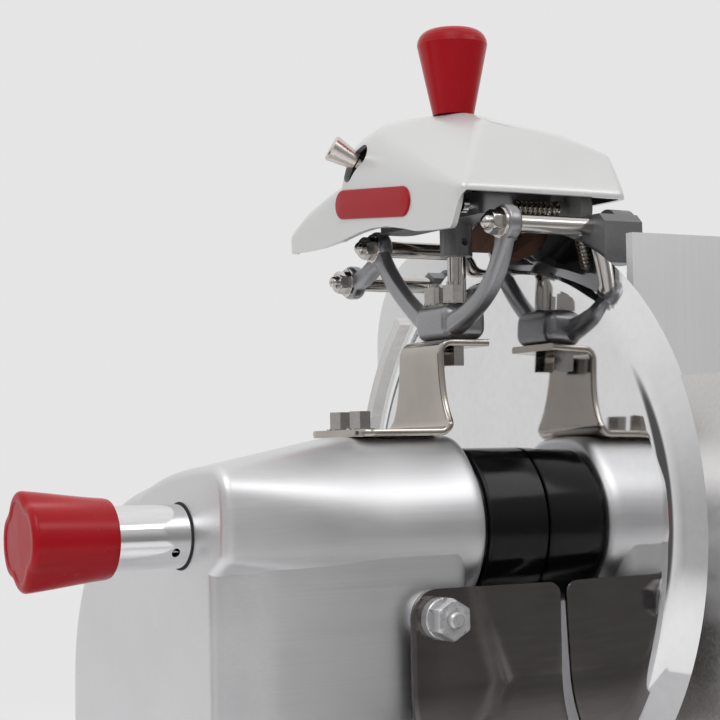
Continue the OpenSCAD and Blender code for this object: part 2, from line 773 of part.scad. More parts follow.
module cover_carrier() color("#8e9092") at_axis()
  difference() {
    union() {
      translate([lug_x0, -carrier_half, carrier_z0]) linear_extrude(carrier_t)
        round_rect(lug_x1 - lug_x0, 2 * carrier_half, 6);
      translate([post_x, post_y, carrier_z0]) cylinder(h = carrier_t, d = column_d);
    }
    translate([post_x, post_y, carrier_z0 - 1]) cylinder(h = carrier_t + 2, d = post_d + 2 * seat_gap);
    rod_x(lug_x0 - 1, lug_x1 - lug_x0 + 2, grind_pin_d + 2 * run_gap, grind_y, grind_z);
    rod_x(lug_x0 - 1, lug_x1 - lug_x0 + 2, deburr_pin_d + 2 * run_gap, deburr_y, deburr_z);
    rod_x(lug_x0 - 1, 13, lever_pin_d + 2 * run_gap, lever_y, lever_z);
  }
// Dark casting that ties the guide rods together on the product side
bridge_x0 = edge_x + 12.5;
bridge_x1 = 37;
bridge_h = 11;
module sharpener_bridge() color("#3d3f42") at_axis()
  difference() {
    union() {
      along_x(bridge_x0, bridge_x1 - bridge_x0) {
        translate([rod_y(2), rod_z(2) - bridge_h / 2]) square([rod_y(0) - rod_y(2), bridge_h]);
        for (i = [0 : 2]) translate([rod_y(i), rod_z(i)]) circle(boss_r);
        reach = [rod_y(1) - rod_y(0), rod_z(1) - rod_z(0)];
        translate([rod_y(0), rod_z(0)]) rotate(atan2(reach[1], reach[0])) translate([0, -5])
          square([norm(reach), 10]);
      }
      translate([edge_x + 1.5, rod_y(1), rod_z(1)]) rotate([0, 90, 0])
        hex(12.5, bridge_x1 - edge_x - 1.5);
      along_x(edge_x + 1.5, bridge_x1 - edge_x - 1.5)
        polygon([[-74, 131], [-71, 128], [-56, 128], [-55.5, 150], [-59, 152], [-70, 152], [-74, 148]]);
    }
    for (i = [0 : 2])
      rod_x(edge_x, rod_x1[i] + seat_gap - edge_x, rod_d + 2 * seat_gap, rod_y(i), rod_z(i));
  }

// Sharpener cover: a thin dome with a beak at its rear left and a skirt down its left side
lever_y = 26;
lever_z = 158;
lever_pin_d = 5;
lever_angle = 58.5;
lever_r = 31;
lever_swing = 10;
stem_d = 6;
stem_tilt = 35;
slot_r = lever_r + 5;
slot_half = 7;
arch_y = 28;
arch_r = 60;
skirt = 7;
column_d = 22;
// Round corners of the cover above its rim: place, drop of their top below the knob's seat, and radius
crown = [[-20, 8, 1, 14], [-36, 20, 1.5, 16], [-24, -24, 6, 12], [8, -24, 7.5, 12], [28, -32, 17, 13],
  [28, 20, 18, 13], [4, 18, 5, 14], [cover_x0 + 5, -14, 31, 5], [cover_x0 + 12, 38, 12, 12]];
module cover_dome(inset) {
  r = 6 - inset;
  drop = inset > 0 ? 5 : 0;
  hull() {
    for (x = [cover_x0 + 6, cover_x1 - 6], y = [cover_y0 + 6, cover_y1 - 6])
      translate([x, y, beak_z0 - drop]) cylinder(h = cover_rim + 4 - beak_z0 + drop, r = r, $fn = 24);
    for (c = crown) translate([c[0], c[1], cover_top - c[2] - c[3]]) sphere(c[3] - inset, $fn = 32);
  }
}
module cover_beak(inset) {
  r = 5 - inset;
  drop = inset > 0 ? 5 : 0;
  hull() {
    translate([cover_x0 + 5, beak_y - 5, beak_z0 - drop]) cylinder(h = 6 + drop, r = r, $fn = 24);
    translate([cover_x0 + 5, beak_y - 5, beak_z0 + 8]) sphere(r, $fn = 24);
    for (x = [cover_x0 + 13, -16]) translate([x, 45, 182]) sphere(13 - inset, $fn = 32);
    for (x = [cover_x0 + 5, 10]) translate([x, 20, beak_z0 - drop])
      cylinder(h = 20 + drop, r = r, $fn = 24);
  }
}
module sharpener_cover() color("#e4e4e2") at_axis()
  difference() {
    union() {
      difference() {
        union() { cover_dome(0); cover_beak(0); }
        cover_dome(cover_t);
        cover_beak(cover_t);
        translate([cover_x0 + skirt, cover_y0 - 1, beak_z0 - 10])
          cube([cover_x1 - cover_x0, cover_y1 - cover_y0 + 2, cover_rim - beak_z0 + 10]);
        translate([cover_x0 + skirt, cover_y1, beak_z0 - 10])
          cube([cover_x1 - cover_x0, beak_y, beak_lift + 10]);
      }
      translate([post_x, post_y, carrier_z1]) cylinder(h = cover_top - carrier_z1, d = column_d);
    }
    translate([post_x, post_y, carrier_z1 - 1]) cylinder(h = 100, d = post_d + 2 * seat_gap);
    rod_x(cover_x0 - 1, skirt + 2, 2 * arch_r, arch_y, beak_z0 + 5 - arch_r);
    along_x(cover_x0 - 10, 20) translate([lever_y, lever_z]) {
      spread = lever_swing + 3;
      arc_band(slot_r - slot_half, slot_r + slot_half, lever_angle - spread, lever_angle + spread);
      for (s = [-1, 1]) rotate(lever_angle + s * spread) translate([slot_r, 0]) circle(slot_half);
    }
  }
badge_l = 76;
badge_h = 15.4;
badge_t = 1.4;
badge_y = 24;
badge_z = 164.8;
badge_tilt = 5.3;
module cover_badge() color("#b01c28") at_axis()
  along_x(cover_x0 - badge_t, badge_t) translate([badge_y, badge_z]) rotate(badge_tilt) {
    square([badge_l - badge_h, badge_h], center = true);
    for (s = [-1, 1]) translate([s * (badge_l - badge_h) / 2, 0]) circle(badge_h / 2);
  }
lever_t = 4;
arm_face = lug_x0 - 9.5;
stem_l = arm_face - cover_x0 + 1.5;
knob_big = 14;
knob_small = 9;
module lever_knob() color("gainsboro") at_axis() {
  rod_x(arm_face, lug_x0 + 11 - arm_face, lever_pin_d, lever_y, lever_z);
  translate([arm_face, lever_y, lever_z]) rotate([lever_angle, 0, 0]) {
    along_x(0, lever_t) {
      circle(5);
      translate([0, -3]) square([lever_r, 6]);
      translate([lever_r, 0]) circle(3.5);
    }
    translate([lever_t / 2, lever_r, 0]) rotate([0, 0, -stem_tilt]) rotate([0, -90, 0]) rotate_extrude()
      polygon([[0, 0], [stem_d / 2, 0], [stem_d / 2, stem_l - 1], [knob_small / 2, stem_l],
        [knob_big / 2, stem_l + 14], [knob_big / 2 - 0.8, stem_l + 15], [0, stem_l + 15]]);
  }
}
top_knob_h = 46;
top_knob_d0 = 21;
top_knob_d1 = 36;
module sharpener_knob() color("#b01c28") at_axis()
  translate([post_x, post_y, knob_seat_z]) difference() {
    rotate_extrude() polygon(concat([[0, 0], [top_knob_d0 / 2, 0], [top_knob_d1 / 2, top_knob_h - 10]],
      [for (a = [15 : 15 : 90]) [top_knob_d1 / 2 - 8 + 8 * cos(a), top_knob_h - 10 + 8 * sin(a)]],
      [[0, top_knob_h]]));
    translate([0, 0, -1]) cylinder(h = 21 + seat_gap, d = post_d + 2 * run_gap);
  }
// Return spring: a round wire wound about the deburring spindle
spring_steps = 8;
spring_sides = 6;
spring_r = (spring_d - spring_wire) / 2;
spring_x0 = lug_x1 + spring_wire / 2 + seat_gap;
spring_x1 = collar_x - spring_wire / 2 - seat_gap;
spring_n = spring_coils * spring_steps;
function spring_at(i) = let (a = 360 * i / spring_steps)
  [spring_x0 + (spring_x1 - spring_x0) * i / spring_n, spring_r * cos(a), spring_r * sin(a)];
function spring_way(i) = let (a = 360 * i / spring_steps) [0, -sin(a), cos(a)];
function spring_out(i) = let (a = 360 * i / spring_steps) [0, cos(a), sin(a)];
spring_line = concat([[spring_at(0) - spring_wire * spring_way(0), spring_out(0)]],
  [for (i = [0 : spring_n]) [spring_at(i), spring_out(i)]],
  [[spring_at(spring_n) + spring_wire * spring_way(spring_n), spring_out(spring_n)]]);
spring_gap = min([for (i = [0 : spring_n], j = [i + 5 : spring_n])
  norm(spring_at(i) - spring_at(j))]) - spring_wire;
module return_spring() color("#8c7447") at_axis() translate([0, deburr_y, deburr_z]) {
  k = spring_sides;
  last = len(spring_line) - 1;
  echo(str("Least gap between the spring's coils: ", spring_gap, " mm"));
  polyhedron(
    points = [for (p = spring_line, b = [0 : k - 1])
      p[0] + spring_wire / 2 * (cos(360 * b / k) * p[1] + sin(360 * b / k) * [1, 0, 0])],
    faces = concat(
      [for (i = [0 : last - 1], b = [0 : k - 1]) let (c = (b + 1) % k) each [
        [i * k + b, i * k + c, (i + 1) * k + c], [i * k + b, (i + 1) * k + c, (i + 1) * k + b]]],
      [for (b = [1 : k - 2]) [0, b + 1, b]],
      [for (b = [1 : k - 2]) [last * k, last * k + b, last * k + b + 1]]));
}
// Stones and their spindles, which slide in the carrier
module grind_spindle() color("gainsboro") at_axis() {
  rod_x(lug_x0 - 6, grind_x + grind_t + 1.5 - lug_x0 + 6, grind_pin_d, grind_y, grind_z);
  rod_x(grind_x - 2.4, 2, 12, grind_y, grind_z);
}
module grind_stone() color("#7a5238") at_axis() along_x(grind_x, grind_t) translate([grind_y, grind_z])
  difference() {
  circle(grind_r);
  circle(grind_pin_d / 2 + run_gap);
}
module deburr_spindle() color("gainsboro") at_axis() {
  rod_x(lug_x0 - 4, deburr_x + deburr_t + 1.5 - lug_x0 + 4, deburr_pin_d, deburr_y, deburr_z);
  rod_x(lug_x0 - 6, 3, 8, deburr_y, deburr_z);
  rod_x(collar_x, deburr_x - 0.4 - collar_x, 9, deburr_y, deburr_z);
}
module deburr_stone() color("#8a8a86") at_axis() along_x(deburr_x, deburr_t)
  translate([deburr_y, deburr_z])
  difference() {
    circle(deburr_r);
    circle(deburr_pin_d / 2 + run_gap);
  }

// Carriage
module carriage_table() color("silver") at_axis()
  difference() {
    translate([carriage_x0, table_y0, table_z0]) linear_extrude(table_t)
      round_rect(table_w, table_l, 6);
    for (x = [carriage_x0 + 24 : 18 : carriage_x1 - 20]) translate([x, table_y0 + 20, table_top - 1.5])
      cube([3, table_l - 40, 4]);
  }
wall_corner = 30;
lug_r = press_rod_d / 2 + 7;
press_lugs = [carriage_x0 + 2, carriage_x1 - 2 - press_support_w];
module carriage_wall() color("silver") at_axis() {
  difference() {
    translate([0, wall_y1, 0]) rotate([90, 0, 0]) linear_extrude(wall_t) {
      translate([carriage_x0, table_top]) square([table_w, wall_top - wall_corner - table_top]);
      translate([carriage_x0, table_top]) square([table_w - wall_corner, wall_top - table_top]);
      translate([carriage_x1 - wall_corner, wall_top - wall_corner]) circle(wall_corner);
    }
    for (z = handle_ends)
      rod_along_y(handle_x, wall_y0 - 1, z, wall_t + 2, handle_pin_d + 2 * seat_gap);
  }
  for (x = press_lugs) along_x(x, press_support_w) difference() {
    union() {
      translate([press_y, press_z]) circle(lug_r);
      translate([wall_y1, press_z - lug_r]) square([press_y - wall_y1, 2 * lug_r]);
    }
    translate([press_y, press_z]) circle(press_rod_d / 2 + seat_gap);
  }
}
module carriage_leg() color("gray") at_axis()
  difference() {
    translate([rail_x - leg_w / 2, leg_y - leg_l / 2, rail_z - rail_d / 2 - 6])
      cube([leg_w, leg_l, table_z0 - rail_z + rail_d / 2 + 6]);
    rod_along_y(rail_x, leg_y - leg_l / 2 - 1, rail_z, leg_l + 2, rail_d + 2 * run_gap);
  }
module carriage_rail() color("gainsboro") at_axis()
  rod_along_y(rail_x, base_y0 + base_wall, rail_z, base_l - 2 * base_wall, rail_d);
handle_x = carriage_x1 - 40;
handle_ends = [0, 100];
handle_pin_d = 12;
handle_out = 42;
grip_r = 13;
module carriage_handle() color("#202020") at_axis() {
  for (z = handle_ends)
    rod_along_y(handle_x, wall_y0 - handle_out, z, handle_out + wall_t, handle_pin_d);
  translate([handle_x, wall_y0 - handle_out, handle_ends[0] - 12]) rotate_extrude() {
    span = handle_ends[1] - handle_ends[0] + 24;
    polygon([[0, 0], [grip_r - 4, 0], [grip_r, 5], [grip_r - 1.5, span * 0.3], [grip_r + 1, span / 2],
      [grip_r - 1.5, span * 0.7], [grip_r, span - 5], [grip_r - 4, span], [0, span]]);
  }
}
module press_rod() color("gainsboro") at_axis()
  rod_x(press_lugs[0], press_lugs[1] + press_support_w - press_lugs[0], press_rod_d, press_y, press_z);
press_ear_r = press_rod_d / 2 + sleeve_wall;
press_low = table_top + 4;
press_edge = press_y + press_ear_r;
press_neck = press_edge + 40;
press_round = 20;
// Outline of the press plate: round the ear, down to the table, along it and up round the lobe
press_outline = concat(
  arc_points([press_y, press_z], press_ear_r, 90, 270, 24),
  arc_points([press_edge + press_round, press_low + press_round], press_round, 180, 270, 8),
  arc_points([table_y1 - press_round, press_low + press_round], press_round, 270, 360, 8),
  arc_points([press_lobe_y, press_lobe_z], press_lobe_r, 0, 138, 24),
  [[press_neck, press_z + press_round]]);
module press_plate() color("gainsboro") at_axis()
  along_x(press_x0, press_t) difference() {
    polygon(press_outline);
    translate([press_y, press_z]) circle(press_rod_d / 2 + run_gap);
  }
module press_sleeve() color("silver") at_axis() along_x(press_x0 + press_t, press_sleeve_l)
  translate([press_y, press_z]) difference() {
    circle(press_ear_r);
    circle(press_rod_d / 2 + run_gap);
  }

// Gauge plate, its arm, guide rod and screw
gauge_low = table_top - 30;
module gauge_plate() color("gainsboro") at_axis()
  along_x(gauge_x0, gauge_t) difference() {
    translate([gauge_y0, gauge_low]) round_rect(-90 - gauge_y0, gauge_top - gauge_low, 8);
    circle(-gauge_y1);
  }
module gauge_arm() color("gray") at_axis()
  difference() {
    union() {
      translate([arm_x0, gauge_block_y0, screw_z - 16])
        cube([gauge_block_w, gauge_block_y1 - gauge_block_y0, gauge_low + 12 - screw_z + 16]);
      translate([arm_x0, gauge_block_y0, gauge_low])
        cube([gauge_x0 - arm_x0, gauge_block_y1 - gauge_block_y0, 12]);
    }
    rod_x(arm_x0 - 1, gauge_block_w + 2, screw_d + 2 * run_gap, screw_y, screw_z);
    rod_x(arm_x0 - 1, gauge_block_w + 2, guide_d + 2 * run_gap, guide_y, screw_z);
  }
module gauge_guide_rod() color("gainsboro") at_axis()
  rod_x(base_x0 + base_wall, guide_x1 - base_x0 - base_wall, guide_d, guide_y, screw_z);
thick_knob_l = 24;
flute_r = 4;
module lead_screw() color("gainsboro") at_axis()
  rod_x(base_x0 - thick_knob_l + 6, -arm_x0 - base_x0 - 20, screw_d, screw_y, screw_z);
module thickness_knob() color("#202020") at_axis()
  translate([base_x0 - air - thick_knob_l, screw_y, screw_z]) rotate([0, 90, 0]) difference() {
    union() {
      cylinder(h = thick_knob_l - 3, d = thick_knob_d - 6);
      translate([0, 0, thick_knob_l - 5]) cylinder(h = 5, d = thick_knob_d);
    }
    for (a = [0 : 30 : 330]) rotate(a) translate([thick_knob_d / 2, 0, -1])
      cylinder(h = thick_knob_l - 8, r = flute_r + 0.5);
    translate([0, 0, 6 - seat_gap]) cylinder(h = thick_knob_l, d = screw_d + 2 * seat_gap);
  }

// Controls and cable gland
module control_panel() color("#202020") at_axis()
  difference() {
    translate([(button_x[0] + button_x[1]) / 2 - panel_w / 2, base_y0, button_z - panel_h / 2])
      rotate([90, 0, 0])
      linear_extrude(panel_t) round_rect(panel_w, panel_h, 10);
    for (x = button_x)
      rod_along_y(x, base_y0 - panel_t - 1, button_z, panel_t + 2, button_d + 2 * run_gap);
  }
module push_button(x) {
  translate([x, base_y0 - panel_t - button_out, button_z]) rotate([-90, 0, 0]) rotate_extrude()
    polygon([[0, 0], [button_d / 2 - 2, 0], [button_d / 2, 1.5],
      [button_d / 2, panel_t + button_out + base_wall + 8],
      [0, panel_t + button_out + base_wall + 8]]);
}
module start_button() color("#1f8a3c") at_axis() push_button(button_x[0]);
module stop_button() color("#b01c28") at_axis() push_button(button_x[1]);
module cable_gland() color("#202020") at_axis()
  difference() {
    union() {
      rod_along_y(gland_x, base_y1 - base_wall - 4, gland_z, base_wall + 6, gland_d - 6);
      translate([gland_x, base_y1, gland_z]) rotate([-90, 0, 0]) hex(gland_d, 8);
    }
    rod_along_y(gland_x, base_y1 - base_wall - 6, gland_z, base_wall + 20, gland_bore);
  }

base_casting();
bottom_plate();
rubber_feet();
bottom_screws();
head_casting();
hub_collar();
shaft_bearings();
motor();
motor_bracket();
drive_belt();
cable_gland();
control_panel();
ring_guard();
deflector_plate();
deflector_clamp();
deflector_nut();
blade_cover();
sharpener_bracket();
hex_bolts();
sharpener_fork();
guide_rods();
dome_nuts();
sharpener_post();
post_boss();
cover_carrier();
sharpener_bridge();
sharpener_cover();
cover_badge();
return_spring();
carriage_rail();
gauge_guide_rod();
knob_sleeve();
blade();
blade_hub();
blade_screws();
blade_shaft();
driven_pulley();
motor_shaft();
motor_pulley();
blade_knob();
tie_rod();
sharpener_knob();
lever_knob();
grind_spindle();
grind_stone();
deburr_spindle();
deburr_stone();
carriage_table();
carriage_wall();
carriage_leg();
carriage_handle();
press_rod();
press_plate();
press_sleeve();
gauge_plate();
gauge_arm();
lead_screw();
thickness_knob();
start_button();
stop_button();
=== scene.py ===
import bpy
import numpy as np
from mathutils import Matrix, Vector


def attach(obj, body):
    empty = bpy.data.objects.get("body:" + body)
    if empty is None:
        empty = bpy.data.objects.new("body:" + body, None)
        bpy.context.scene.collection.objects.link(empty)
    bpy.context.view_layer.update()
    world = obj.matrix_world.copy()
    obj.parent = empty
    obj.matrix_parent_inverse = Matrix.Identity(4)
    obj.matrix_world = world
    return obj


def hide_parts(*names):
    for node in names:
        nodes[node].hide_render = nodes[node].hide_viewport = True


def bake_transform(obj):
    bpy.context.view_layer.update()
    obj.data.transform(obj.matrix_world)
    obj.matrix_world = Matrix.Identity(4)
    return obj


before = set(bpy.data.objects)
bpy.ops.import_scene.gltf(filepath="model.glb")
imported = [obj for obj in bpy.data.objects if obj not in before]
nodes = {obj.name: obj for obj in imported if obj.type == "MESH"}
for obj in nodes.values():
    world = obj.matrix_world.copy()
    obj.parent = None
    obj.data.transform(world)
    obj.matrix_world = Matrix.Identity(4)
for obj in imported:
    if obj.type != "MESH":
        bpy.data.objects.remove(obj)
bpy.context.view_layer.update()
bladeCentre = np.array([0.0045, 0.05425, 0.265])  # every shape below is in mm from here
mm = 0.001
crease = np.radians(34)  # edges that turn by more than this stay crisp
print("frame loaded:", len(nodes), "nodes")

# camera: where it stands from the blade's centre, and its three axes
view = {"place": (-557, -841, 36), "right": (0.8709, -0.4910, -0.0180), "up": (-0.0083, -0.0512, 0.9987),
        "ahead": (0.4913, 0.8696, 0.0487), "lens": 98.1, "sensor": 36, "nearest": 0.02}


def addCamera():
    lens = bpy.data.cameras.new("viewLens")
    lens.lens = view["lens"]
    lens.sensor_width = view["sensor"]
    lens.clip_start = view["nearest"]
    cam = bpy.data.objects.new("viewCamera", lens)
    right, up, ahead = (Vector(view[k]).normalized() for k in ("right", "up", "ahead"))
    turn = Matrix((right, up, -ahead)).transposed()
    place = bladeCentre + np.array(view["place"]) * mm
    cam.matrix_world = Matrix.Translation(Vector(place)) @ turn.to_4x4()
    bpy.context.scene.collection.objects.link(cam)
    bpy.context.scene.camera = cam


addCamera()
bpy.context.scene.view_settings.view_transform = "Standard"
print("camera placed")


# a grid of points becomes a mesh: rows by columns, each row closed round; the ends are fanned to their
# middles, or in a looped grid the last row joins the first; faces are turned outwards, so that the triangles'
# shares of the volume, seen from the middle, add up to more than nothing
def gridPiece(name, grid, body, looped=False):
    rows, cols = grid.shape[:2]
    points = grid.reshape(-1, 3)
    r, c = np.meshgrid(np.arange(rows if looped else rows - 1), np.arange(cols), indexing="ij")
    right, up = (c + 1) % cols, (r + 1) % rows
    quads = np.stack([r * cols + c, r * cols + right, up * cols + right, up * cols + c], -1).reshape(-1, 4)
    ring = np.arange(cols)
    fans = []
    for row, order in () if looped else ((0, 1), (rows - 1, -1)):
        middle = len(points)
        points = np.vstack([points, grid[row].mean(0)])
        fan = np.stack([np.full(cols, middle), np.roll(ring, -1) + row * cols, ring + row * cols], -1)
        fans.append(fan[:, ::order])
    tris = np.vstack([quads[:, :3], quads[:, [0, 2, 3]]] + fans)
    a, b, c = (points[tris[:, i]] - points.mean(0) for i in range(3))
    turn = 1 if (a * np.cross(b, c)).sum() > 0 else -1
    mesh = bpy.data.meshes.new(name)
    faces = [face for part in [quads] + fans for face in part[:, ::turn].tolist()]
    mesh.from_pydata(points * mm + bladeCentre, [], faces)
    mesh.validate()
    mesh.polygons.foreach_set("use_smooth", np.ones(len(mesh.polygons), bool))
    mesh.set_sharp_from_angle(angle=crease)
    piece = bpy.data.objects.new(name, mesh)
    bpy.context.scene.collection.objects.link(piece)
    if body:
        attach(piece, body)
    return piece


# skin of round balls at the centres: for each outward direction n the furthest ball decides, and a soft
# maximum of centre.n + radius rounds every edge; the point is the weighted centre plus n times what is left
def skin(n, centres, radii, sharp):
    reach = n @ centres.T + radii
    top = reach.max(-1, keepdims=True)
    weight = np.exp(sharp * (reach - top))
    total = weight.sum(-1, keepdims=True)
    far = top[..., 0] + np.log(total[..., 0]) / sharp
    middle = (weight / total) @ centres
    return middle + n * (far - (middle * n).sum(-1))[..., None]


# outward directions at angles of rise and of turn about the upright
def directions(rise, around):
    rise, around = np.broadcast_arrays(rise, around)
    return np.stack([np.cos(rise) * np.cos(around), np.cos(rise) * np.sin(around), np.sin(rise)], -1)


# values spaced evenly by a mix of arc length and parameter along a line of points
def evenly(values, line, count, byLength=0.7):
    step = np.linalg.norm(np.diff(line, axis=0), axis=1)
    length = np.concatenate([[0], np.cumsum(step)])
    mix = byLength * length / length[-1] + (1 - byLength) * np.linspace(0, 1, len(values))
    return np.interp(np.linspace(0, 1, count), mix, values)


# points of a circle of radius 1 at the angles
def circleOf(angles):
    return np.stack([np.cos(angles), np.sin(angles)], -1)


# angles evenly round a whole turn, without the last, which would be the first again
def fullTurn(count):
    return np.linspace(0, 2 * np.pi, count, endpoint=False)


# angles from nothing to a right angle
def quarterTurn(count):
    return np.linspace(0, np.pi / 2, count)


# rows across the blade's axis: one distance along the axis for each row, and the row's points beside the axis
def alongX(x, rows):
    x = np.broadcast_to(np.asarray(x, float)[:, None, None], rows.shape[:2] + (1,))
    return np.concatenate([x, rows], -1)


# distance from a hexagon's middle to its side at each angle
def hexRadius(flats, angle):
    return flats / 2 / np.cos((angle + np.pi / 6) % (np.pi / 3) - np.pi / 6)


# step from 0 at a to 1 at b, level at both ends
def smooth(x, a, b):
    t = np.clip((x - a) / (b - a), 0, 1)
    return t * t * (3 - 2 * t)


# bell that is 1 at nothing and fades over the width
def bell(x, width):
    return np.exp(-(x / width) ** 2)


# in the dictionaries "mesh" is how many columns and rows, and "arc" how many points make a quarter round

# side knob: round at the neck, with two finger lobes that grow towards the face, and a shallow rimmed face;
# "neck" lists (share of the length, step in), and "face" (step in from the rounded edge, depth)
sideKnob = {"neckX": -217.0, "length": 42.0, "neckR": 18.6, "faceR": 21.7, "lobe": 1.7, "lobeAt": 80.0,
            "lobeWide": 17.0, "dip": 2.0, "dipAt": 36.0, "dipWide": 15.0, "round": 3.0, "ease": 0.35,
            "leastR": 1.0, "neck": [(0.04, 6.0), (0.02, 1.2), (0.0, 0.3)],
            "face": [(1.5, 0.0), (1.8, 0.1), (2.3, 0.5), (8.0, 0.5), (17.0, 0.2)], "mesh": (240, 40),
            "arc": 9}


def makeSideKnob():
    k = sideKnob
    cols, rows = k["mesh"]
    angle = fullTurn(cols)
    off = np.abs((np.degrees(angle) - k["lobeAt"] + 90) % 180 - 90)  # degrees to the nearer lobe
    lobes = k["lobe"] * bell(off, k["lobeWide"])
    outline = k["faceR"] + lobes - k["dip"] * bell(off - k["dipAt"], k["dipWide"])
    neckAt, neckIn = np.array(k["neck"]).T
    faceIn, faceDown = np.array(k["face"]).T
    along = np.concatenate([neckAt, np.linspace(neckAt[0], 1, rows)])
    turn = quarterTurn(k["arc"])[1:]
    length, bend = k["length"], k["round"]
    depth = np.concatenate([along * (length - bend), length - bend * (1 - np.sin(turn)), length - faceDown])
    inset = np.concatenate([neckIn, np.zeros(rows), bend * (1 - np.cos(turn)), bend + faceIn])
    share = np.clip(depth / length, 0, 1)[:, None]
    grow = smooth(share, 0, 1) * k["ease"] + share * (1 - k["ease"])
    radius = np.maximum(k["neckR"] + (outline - k["neckR"]) * grow - inset[:, None], k["leastR"])
    piece = gridPiece("sideKnob", alongX(k["neckX"] - depth, radius[..., None] * circleOf(angle)), "tie_unit")
    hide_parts("blade_knob")
    return piece


# gap shade: a thin dark ring of painted shade in the gap where the sleeve leaves the head, a small circle
# carried round the blade's axis; it wears the rubber finish
gapShade = {"x": -180.1, "radius": 15.4, "wire": 0.6, "mesh": (120, 12)}


def makeGapShade():
    k = gapShade
    around, wireSteps = k["mesh"]
    ring = k["wire"] * circleOf(fullTurn(wireSteps))
    rows = (k["radius"] + ring[:, 1])[:, None, None] * circleOf(fullTurn(around))
    piece = gridPiece("sleeveGapShade", alongX(k["x"] + ring[:, 0], rows), "frame", True)
    return piece


# head: sections across the blade axis; a section is the skin of balls (place across, height, radius), and
# those between the end face and the collar are straight mixes of the two, with a quarter round at either end
head = {"endX": -180.0, "flatX": -95.0, "seatX": -46.0, "collarX": -38.2, "cap": 5.0, "flank": 45.3,
        "top": 44.9, "endBalls": [(-32.5, 18, 15), (12, 19, 10), (44, 11, 10), (-40.5, -7, 7), (30, -40, 10)],
        "endSharp": 0.8, "topHalf": 28.0, "topR": 12.0, "lipIn": 2.5, "lipDown": 6.0, "seatSharp": 1.2,
        "ease": 0.05, "kick": 0.02, "mesh": (240, 69), "arc": 12}
fineTurn = np.linspace(0, 2 * np.pi, 4000)  # both ends, to space a section's points evenly


# one section: the skin of its balls in the plane across the axis
def sectionOf(balls, angle, sharp):
    balls = np.array(balls, float)
    return skin(circleOf(angle), balls[:, :2], balls[:, 2], sharp)


def makeHeadTunnel():
    k = head
    cols, rows = k["mesh"]
    topR, topAt = k["topR"], k["topHalf"] - k["topR"]
    seat = [(0, 0, k["flank"])] + [(y, k["top"] - topR, topR) for y in (-topAt, topAt)]
    lowTop = k["top"] - topR - k["lipDown"]
    low = [(0, 0, k["flank"] - k["lipIn"])] + [(y, lowTop, topR) for y in (-topAt, topAt)]
    kinds = (k["endBalls"], k["endSharp"]), (seat, k["seatSharp"]), (low, k["seatSharp"])
    both = sectionOf(seat, fineTurn, k["seatSharp"]) + sectionOf(k["endBalls"], fineTurn, k["endSharp"])
    angle = evenly(fineTurn, both, cols + 1)[:-1]
    endSide, seatSide, lowSide = (sectionOf(balls, angle, sharp) for balls, sharp in kinds)
    turn = quarterTurn(k["arc"])
    capX = k["endX"] + k["cap"] * (1 - np.cos(turn))
    capRows = endSide - (k["cap"] * (1 - np.sin(turn)))[:, None, None] * circleOf(angle)
    runX = np.linspace(k["endX"] + k["cap"], k["seatX"], rows + 1)[1:]
    u = (runX - runX[0]) / (k["flatX"] - runX[0])
    s = 1 - k["ease"] * np.logaddexp(0, (1 - u) / k["ease"])
    s = (s - s[0]) / (s[-1] - s[0]) * (1 - k["kick"]) + k["kick"]
    runRows = endSide + s[:, None, None] * (seatSide - endSide)
    bow = turn[1:]
    lipX = k["seatX"] + (k["collarX"] - k["seatX"]) * np.sin(bow)
    lipRows = seatSide + (1 - np.cos(bow))[:, None, None] * (lowSide - seatSide)
    grid = alongX(np.concatenate([capX, runX, lipX]), np.concatenate([capRows, runRows, lipRows]))
    piece = gridPiece("headTunnel", grid, "frame")
    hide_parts("head_casting")
    return piece


# pedestal: one section of balls carried along the axis, with rounded ends; "back" is the big arc on the far
# side, and the near wall stands out further behind the end's edge
pedestal = {"endX": -179.99, "farX": -46.2, "edge": 9.0, "wall": -37.5, "fullWall": -43.4,
            "wallRun": (-178, -152), "floor": -169.9, "back": (44, -78, 99), "backFrom": -6, "backTo": 102,
            "backStep": 12, "top": [(12, 19), (44, 12.5), (70, 4)], "sharp": 1.0, "mesh": (240, 28),
            "arc": 10}


def makeHeadPedestal():
    k = pedestal
    e = k["edge"]
    cols, rows = k["mesh"]
    by, bz, br = k["back"]
    arc = np.radians(np.arange(k["backFrom"], k["backTo"] + 1, k["backStep"]))
    balls = [(by + (br - e) * np.cos(a), bz + (br - e) * np.sin(a), e) for a in arc]
    balls += [(k["wall"] + e, 0, e), (k["wall"] + e, k["floor"] + e, e), (by + br - e, k["floor"] + e, e)]
    balls += [(y, z, e) for y, z in k["top"]]
    angle = evenly(fineTurn, sectionOf(balls, fineTurn, k["sharp"]), cols + 1)[:-1]
    side = sectionOf(balls, angle, k["sharp"])
    side[:, 1] = np.maximum(side[:, 1], k["floor"])
    turn = quarterTurn(k["arc"])
    run = np.linspace(0, 1, rows + 2)[1:-1]
    x0, x1 = k["endX"] + e, k["farX"] - e
    x = np.concatenate([x0 - e * np.cos(turn), x0 + (x1 - x0) * run, (x1 + e * np.cos(turn))[::-1]])
    inset = e * (1 - np.sin(turn))
    inset = np.concatenate([inset, np.zeros(len(run)), inset[::-1]])
    grid = alongX(x, side - inset[:, None, None] * circleOf(angle))
    fuller = smooth(x, *k["wallRun"])[:, None] * (k["fullWall"] / k["wall"] - 1)
    grid[..., 1] += np.minimum(grid[..., 1], 0) * fuller
    grid[..., 2] = np.maximum(grid[..., 2], k["floor"])
    piece = gridPiece("headPedestal", grid, "frame")
    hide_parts("head_casting")
    return piece


